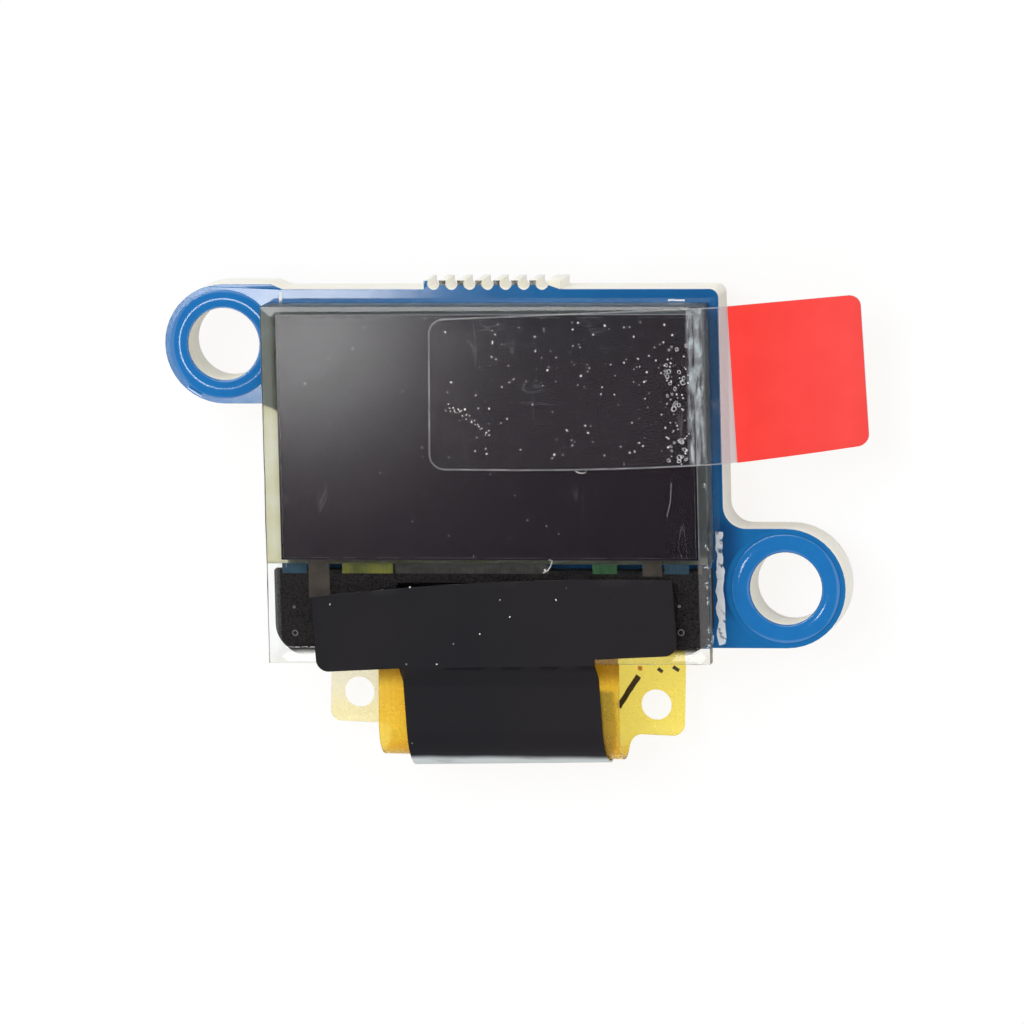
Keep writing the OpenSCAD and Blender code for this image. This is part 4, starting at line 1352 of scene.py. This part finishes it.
@dataclass
class LabelAssembly:
    """The clear label with its red grip, and the dust and bubbles on it."""

    bubble_radius: float = 0.075
    fleck_radius: float = 0.024
    rim_width: float = 0.045
    glass: Box = field(default_factory=lambda: Box.of("front_glass"))
    label: Box = field(default_factory=lambda: Box.of("pull_label"))
    grip: Box = field(default_factory=lambda: Box.of("pull_grip"))
    cover: Box = field(default_factory=lambda: Box.of("protective_film"))

    def build(self) -> None:
        """Makes the label, the grip and what sticks to them."""
        self.build_label()
        self.build_grip()
        self.build_bubbles()
        self.build_flecks()
        self.build_fibres()

    def build_label(self) -> None:
        """The clear label, with whitened cut edges."""
        piece = copy_node("pull_label", "label_strip")
        with editing(piece) as mesh:
            for vertex in mesh.verts:
                vertex.co.z += EASE
            for face in mesh.faces:
                face.select_set(face.normal.z > 0.6)
            bpy.ops.mesh.inset(thickness=self.rim_width * MM)
            rim = [f.index for f in mesh.faces if f.normal.z > 0.6 and not f.select]
        paint(piece, 1, lambda at, normal: abs(normal.z) < 0.6)
        for index in rim:
            piece.data.polygons[index].material_index = 1
        finish(piece, [LabelFilm(edge_x=self.glass.high.x / MM), LabelEdge()], ["pull_label"])

    def build_grip(self) -> None:
        """The red grip: thin, satin, its corners softened."""
        piece = copy_node("pull_grip", "grip_tab")
        for axis in (0, 1):
            cut_grid(piece, axis, 0.5)
        with editing(piece) as mesh:
            for vertex in mesh.verts:
                vertex.co.z += EASE + 0.010 * MM * noise.noise(vertex.co * Vector((1, 1, 0)).length / (1.4 * MM))
        round_edges(piece, 0.012, 2, 50)
        smooth(piece, 40)
        finish(piece, [RedFilm(start_x=self.grip.low.x / MM, end_x=self.grip.high.x / MM)], ["pull_grip"])

    def top_of_label(self) -> float:
        """The height of the label's upper face over the panel, in millimetres."""
        return self.cover.high.z / MM + 0.066

    def build_bubbles(self) -> None:
        """Ring-shaped bubbles where the label began to lift, near the panel's right edge."""
        draw = random.Random(11)
        models = []
        for i, sides in enumerate((11, 13, 9)):
            model = new_disc(f"bubble_{i}", Vector(), self.bubble_radius * MM, 0.008 * MM, sides)
            with editing(model) as mesh:
                for face in mesh.faces:
                    face.select_set(abs(face.normal.z) > 0.9)
                bpy.ops.mesh.inset(thickness=self.bubble_radius * 0.34 * MM)
                bpy.ops.mesh.bridge_edge_loops()
                for vertex in mesh.verts:
                    vertex.co *= 1 + 0.35 * noise.noise(vertex.co / (0.05 * MM) + Vector((i * 5.0, 0, 0)))
            models.append(model)
        right = self.glass.high.x / MM
        areas = ((-1.22, -0.50, 4.10, 2.36, 17), (-0.99, -0.75, 2.26, 2.00, 5), (-1.20, -0.54, 1.04, 0.24, 12))
        places = []
        for low_x, high_x, top, bottom, count in areas:
            for _ in range(count):
                size = draw.uniform(0.5, 1.25)
                places.append(place(right + draw.uniform(low_x, high_x), draw.uniform(bottom, top),
                                    self.top_of_label(), draw.uniform(0, 360), (size, size * draw.uniform(0.7, 1.2), 1)))
        piece = spread("label_bubbles", models, places)
        finish(piece, [Stock.BUBBLE])

    def build_flecks(self) -> None:
        """Dust under and on the label, thicker in a slanting scratch."""
        draw = random.Random(23)
        left, right = self.label.low.x / MM, self.glass.high.x / MM
        z = self.top_of_label()
        places = []
        for _ in range(190):
            size = draw.choice((0.4, 0.5, 0.7, 0.9, 1.2, 1.7))
            x = left + 0.5 + (right - left - 1.2) * draw.random() ** 0.8
            places.append(place(x, draw.uniform(0.3, 4.9), z, draw.uniform(0, 360), (size, size * 0.8, 1)))
        for i in range(26):
            along = i / 25
            places.append(place(-1.45 + 1.29 * along + draw.uniform(-0.08, 0.08),
                                2.17 - 0.97 * along + draw.uniform(-0.13, 0.13), z, draw.uniform(0, 360),
                                (draw.uniform(0.8, 1.9), 0.7, 1)))
        for _ in range(40):
            size = draw.uniform(0.7, 1.6)
            places.append(place(right + draw.uniform(-1.25, -0.45), draw.uniform(0.2, 4.2), z, draw.uniform(0, 360),
                                (size, size, 1)))
        piece = spread("label_dust", flakes("fleck", self.fleck_radius), places)
        finish(piece, [Stock.DUST])

    def build_fibres(self) -> None:
        """A curled fibre caught at the label's lower edge, and a faint scratch in the film below it."""
        z = self.top_of_label()
        curls = [
            hair("fibre_a", ((2.62, 0.02, z), (2.78, -0.04, z + 0.03), (2.93, -0.02, z + 0.04), (2.98, 0.08, z)), 0.012),
        ]
        piece = join("label_fibres", curls)
        smooth(piece)
        finish(piece, [Stock.DUST])
        scratch = hair("film_scratch", ((5.55, -1.45, z - 0.06), (5.68, -0.95, z - 0.06), (5.72, -0.35, z - 0.06)), 0.012)
        finish(scratch, [Stock.SCRATCH])


# ---- The flexible circuit and its tape ----


@dataclass
class FlexAssembly:
    """The folded flexible circuit with its solder, the black tape, the foam and the driver chip."""

    tape_cell: float = 0.3
    tape_wrinkle: float = 0.012
    fleck_radius: float = 0.030
    foam_round: float = 1.02
    foam_squeeze: float = 0.2
    flex: Box = field(default_factory=lambda: Box.of("flex_circuit"))
    tape: Box = field(default_factory=lambda: Box.of("black_tape"))
    glass: Box = field(default_factory=lambda: Box.of("front_glass"))

    def build(self) -> None:
        """Makes the circuit, the tape and what lies under it."""
        self.build_circuit()
        self.build_tail_marks()
        self.build_tape()
        self.build_tape_dust()
        self.build_foam()
        self.build_solder()
        redress("driver_chip", Stock.SILICON)

    def build_circuit(self) -> None:
        """The flexible circuit, its edges rounded a little."""
        piece = copy_node("flex_circuit", "flex_strip")
        round_edges(piece, 0.012, 1, 50)
        smooth(piece, 30)
        finish(piece, [Polyimide(left_x=self.flex.low.x / MM, right_x=self.flex.high.x / MM,
                                 fold_y=self.flex.low.y / MM)], ["flex_circuit"])

    def build_tail_marks(self) -> None:
        """A covered copper bar and small marks on the right shoulder, and an orange spot that is a painted highlight.
        """
        z = Box.of("circuit_board").low.z / MM - 0.001
        dark = [
            bar_between("bar", (3.96, -7.08, z), (3.27, -8.10, z), 0.19, 0.004, 0.02),
            bar_between("tick", (4.60, -6.83, z), (4.76, -6.95, z), 0.12, 0.004, 0.03),
            bar_between("tick", (5.10, -6.77, z), (5.30, -6.90, z), 0.12, 0.004, 0.03),
        ]
        finish(join("tail_marks", dark), [Stock.COPPER_MARK])
        # Painted highlight: an orange spot on the right shoulder.
        spot = plate("tail_spot", (3.94, -6.90, z), (4.09, -6.76), 0.004, 0.03, 0.05)
        finish(spot, [Stock.RUST_SPOT])

    def build_tape(self) -> None:
        """The black tape, not quite flat on the ledge."""
        piece = copy_node("black_tape", "tape_cover")
        for axis in (0, 1):
            cut_grid(piece, axis, self.tape_cell)
        with editing(piece) as mesh:
            for vertex in mesh.verts:
                wave = noise.noise(Vector((vertex.co.x, vertex.co.y, 0)) / (1.6 * MM)) + 1
                fine = noise.noise(Vector((vertex.co.x, vertex.co.y, 0)) / (0.5 * MM)) + 1
                vertex.co.z += (0.35 * wave + 0.15 * fine) * self.tape_wrinkle * MM
        round_edges(piece, 0.012, 2, 50)
        smooth(piece, 50)
        finish(piece, [TapeSkin(fold_y=self.tape.low.y / MM)], ["black_tape"])

    def build_tape_dust(self) -> None:
        """Larger flecks of dust and a fibre on the tape."""
        draw = random.Random(5)
        z = self.glass.high.z / MM + 0.078
        spots = ((-2.95, -3.78), (1.50, -3.21), (-2.13, -6.29), (-5.60, -4.35), (-0.69, -5.30), (0.0, -4.19),
                 (1.84, -4.18), (0.31, -4.74))
        places = [place(x, y, z, draw.uniform(0, 360), (draw.uniform(0.8, 1.6), draw.uniform(0.6, 1.2), 1))
                  for x, y in spots]
        finish(spread("tape_dust", flakes("speck", self.fleck_radius), places), [Stock.DUST])
        curl = hair("tape_fibre", ((1.44, -3.30, z), (1.60, -3.22, z + 0.05), (1.70, -3.08, z + 0.07),
                                   (1.76, -2.90, z + 0.05), (1.66, -2.86, z + 0.09)), 0.016)
        smooth(curl)
        finish(curl, [Stock.DUST])

    def build_foam(self) -> None:
        """The light-blocking foam, a little below the glass so that the leads show above it."""
        piece = copy_node("ledge_foam", "foam_block")
        low, high = Box.of("ledge_foam").low.y, Box.of("ledge_foam").high.z
        with editing(piece) as mesh:
            for vertex in mesh.verts:
                if vertex.co.z > high - EASE:
                    vertex.co.z -= 0.02 * MM
                if vertex.co.y < low + self.foam_round * MM:
                    vertex.co.y -= self.foam_squeeze * MM
        finish(piece, [FoamSkin(low_y=low / MM - self.foam_squeeze)], ["ledge_foam"])

    def build_solder(self) -> None:
        """The soldered contacts of the tail, rounded as solder is."""
        piece = copy_node("flex_solder", "tail_solder")
        round_edges(piece, 0.05, 3, 30)
        smooth(piece, 60)
        finish(piece, [Stock.SOLDER], ["flex_solder"])


# ---- The parts on the back ----


@dataclass
class BackParts:
    """Capacitors, resistors, the regulator, the pads and their solder."""

    corner_round: float = 0.03
    large_end: float = 0.4
    small_end: float = 0.25

    def build(self) -> None:
        """Makes every part on the back."""
        for i in range(1, 4):
            self.build_chip_part(f"large_capacitor_{i}", self.large_end, Stock.CERAMIC)
        for i in range(1, 5):
            self.build_chip_part(f"small_capacitor_{i}", self.small_end, Stock.CERAMIC)
            self.build_chip_part(f"resistor_{i}", self.small_end, Stock.RESISTOR)
            self.build_pad(f"wire_pad_{i}")
        self.build_regulator()
        self.build_chip_solder()

    def build_chip_part(self, node: str, end: float, body: Stock) -> None:
        """A chip part: its body and its two tinned ends."""
        box = Box.of(node)
        axis = 0 if box.size.x > box.size.y else 1
        piece = copy_node(node, f"{node}_chip")
        round_edges(piece, self.corner_round, 3, 40)
        inner = box.size[axis] / 2 - end * MM
        paint(piece, 1, lambda at, normal: abs(at[axis] - box.centre[axis]) > inner)
        smooth(piece, 50)
        finish(piece, [body, Stock.TIN], [node])

    def build_pad(self, node: str) -> None:
        """A wire pad with its flat dome of solder."""
        piece = copy_node(node, f"{node}_dome")
        round_edges(piece, 0.04, 3, 35)
        smooth(piece, 60)
        finish(piece, [Stock.SOLDER], [node])

    def build_regulator(self) -> None:
        """The moulded regulator with tinned leads and a plain dot."""
        box = Box.of("regulator")
        piece = copy_node("regulator", "regulator_body")
        half = 0.67 * MM
        across = 0 if box.size.x < box.size.y else 1
        paint(piece, 1, lambda at, normal: abs(at[across] - box.centre[across]) > half)
        round_edges(piece, 0.03, 2, 40)
        smooth(piece, 45)
        finish(piece, [Stock.MOULDED, Stock.TIN], ["regulator"])
        along = 1 - across
        at = box.centre.copy()
        at[along] += 0.95 * MM
        at[across] += 0.3 * MM
        at.z = box.low.z - 0.004 * MM
        dot = new_disc("regulator_dot", at, 0.16 * MM, 0.008 * MM, 24)
        round_edges(dot, 0.002, 1, 40)
        finish(dot, [Stock.LASER_GREY])

    def build_chip_solder(self) -> None:
        """The solder at the ends of the chip parts."""
        piece = copy_node("chip_solder", "chip_fillets")
        round_edges(piece, 0.02, 2, 40)
        smooth(piece, 60)
        finish(piece, [Stock.SOLDER], ["chip_solder"])


# ---- Studio ----


@dataclass
class Studio:
    """The camera, the plain floor and the light."""

    azimuth: float = 125.47
    elevation: float = 76.41
    distance: float = 388.64
    roll: float = -1.41
    lens: float = 423.58
    aim: tuple[float, float, float] = (0.2566, -1.4774, 1.7567)
    sky: float = 0.76
    key_side: float = 500.0
    key_at: tuple[float, float, float] = (-350.0, 350.0, 900.0)
    key_watts: float = 4.2
    floor_side: float = 4000.0
    floor_white: float = 0.8
    shadow_share: Colour = (0.08, 0.11, 0.16)
    card_side: float = 230.0
    card_height: float = 620.0
    card_stretch: float = 2.583
    card_at: tuple[float, float] = (-118.0, -84.0)
    lamp_radius: float = 9.0
    lamp_at: tuple[float, float, float] = (-134.6, -67.1, 595.0)
    lamp_watts: float = 0.009

    def build(self) -> None:
        """Sets the camera, the world, the floor and the lamps."""
        self.build_camera()
        self.build_world()
        self.build_floor()
        self.build_key()
        self.build_reflections()
        bpy.context.scene.view_settings.view_transform = "Standard"

    def build_camera(self) -> None:
        """A long lens that looks down on the face from its upper right."""
        camera = bpy.data.objects.new("camera", bpy.data.cameras.new("camera"))
        bpy.context.scene.collection.objects.link(camera)
        turn, rise = math.radians(self.azimuth), math.radians(self.elevation)
        back = Vector((math.sin(turn) * math.cos(rise), -math.cos(turn) * math.cos(rise), math.sin(rise)))
        right = Vector((0, 1, 0)).cross(back).normalized()
        up = back.cross(right)
        spin = math.radians(self.roll)
        side = right * math.cos(spin) + up * math.sin(spin)
        head = up * math.cos(spin) - right * math.sin(spin)
        axes = Matrix((side, head, back)).transposed().to_4x4()
        camera.matrix_world = Matrix.Translation((Vector(self.aim) + back * self.distance) * MM) @ axes
        camera.data.lens = self.lens
        camera.data.sensor_width = 36
        camera.data.clip_start = 0.01
        camera.data.clip_end = 10
        bpy.context.scene.camera = camera

    def build_world(self) -> None:
        """An even sky: full white to the eye and in gloss, a little less as light."""
        world = bpy.data.worlds.new("sky")
        bpy.context.scene.world = world
        world.use_nodes = True
        graph = Graph(world.node_tree)
        seen = seen_directly(graph)
        back = world.node_tree.nodes["Background"]
        graph.feed(back.inputs["Strength"], graph.blend(seen, self.sky, 1.0))
        back.inputs["Color"].default_value = (1, 1, 1, 1)

    def build_floor(self) -> None:
        """A white floor that keeps a soft shadow. From below it isn't there."""
        low = CAD_BOX[0].z
        half = self.floor_side / 2 * MM
        floor = new_sheet("floor", Vector((-half, -half, low)), Vector((half, half, low)), (8, 8))
        material = bpy.data.materials.new("floor_white")
        material.use_nodes = True
        graph = Graph(material.node_tree)
        shader = material.node_tree.nodes["Principled BSDF"]
        seen = seen_directly(graph)
        shade = graph.mix(seen, (self.floor_white,) * 3, self.shadow_share)
        glow = tuple(1.0 - share for share in self.shadow_share)
        for name, value in (("Base Color", shade), ("Roughness", 1.0), ("Specular IOR Level", 0.0),
                            ("Emission Color", glow)):
            graph.feed(shader.inputs[name], value)
        graph.feed(shader.inputs["Emission Strength"], seen)
        clear = graph.node("ShaderNodeBsdfTransparent")
        under = graph.node("ShaderNodeNewGeometry").outputs["Backfacing"]
        mixed = graph.node("ShaderNodeMixShader")
        for socket, value in zip(mixed.inputs, (under, shader.outputs[0], clear.outputs[0])):
            graph.feed(socket, value)
        graph.feed(material.node_tree.nodes["Material Output"].inputs["Surface"], mixed.outputs[0])
        floor.data.materials.append(material)

    def build_key(self) -> None:
        """One large soft lamp at the upper left."""
        lamp = bpy.data.lights.new("key", "AREA")
        lamp.shape = "SQUARE"
        lamp.size = self.key_side * MM
        lamp.energy = self.key_watts
        self.hang(lamp, Vector(self.key_at) * MM)

    def build_reflections(self) -> None:
        """A dark card that the gloss of the face mirrors, with one small soft lamp before it."""
        half = self.card_side / 2
        x, y = self.card_at
        card = new_sheet("dark_card", Vector((x - half, y - half, self.card_height)) * MM,
                         Vector((x + half, y + half, self.card_height)) * MM, (4, 4))
        material = bpy.data.materials.new("card_black")
        material.use_nodes = True
        shader = material.node_tree.nodes["Principled BSDF"]
        shader.inputs["Base Color"].default_value = (0.02, 0.02, 0.02, 1)
        shader.inputs["Roughness"].default_value = 1.0
        card.data.materials.append(material)
        card.visible_camera = card.visible_diffuse = card.visible_shadow = False
        lamp = bpy.data.lights.new("glow", "AREA")
        lamp.shape = "DISK"
        lamp.size = 2 * self.lamp_radius * MM
        lamp.energy = self.lamp_watts
        self.hang(lamp, Vector(self.lamp_at) * MM)

    def hang(self, lamp: bpy.types.Light, at: Vector) -> None:
        """Places a lamp and turns it to the module."""
        made = bpy.data.objects.new(lamp.name, lamp)
        bpy.context.scene.collection.objects.link(made)
        made.location = at
        made.rotation_euler = at.to_track_quat("Z", "Y").to_euler()


def seen_directly(graph: Graph) -> bpy.types.NodeSocket:
    """1 for what the eye sees, in gloss or through glass too, and 0 for what lights a surface."""
    path = graph.node("ShaderNodeLightPath").outputs
    either = graph.math("MAXIMUM", path["Is Camera Ray"], path["Is Glossy Ray"])
    return graph.math("MAXIMUM", either, path["Is Transmission Ray"])


def main() -> None:
    """Builds the studio and every sub-assembly."""
    logging.basicConfig(level=logging.INFO, format="%(name)s: %(message)s")
    Studio().build()
    for assembly in (BoardAssembly(), PanelAssembly(), LabelAssembly(), FlexAssembly(), BackParts()):
        assembly.build()


if __name__ == "__main__":
    main()
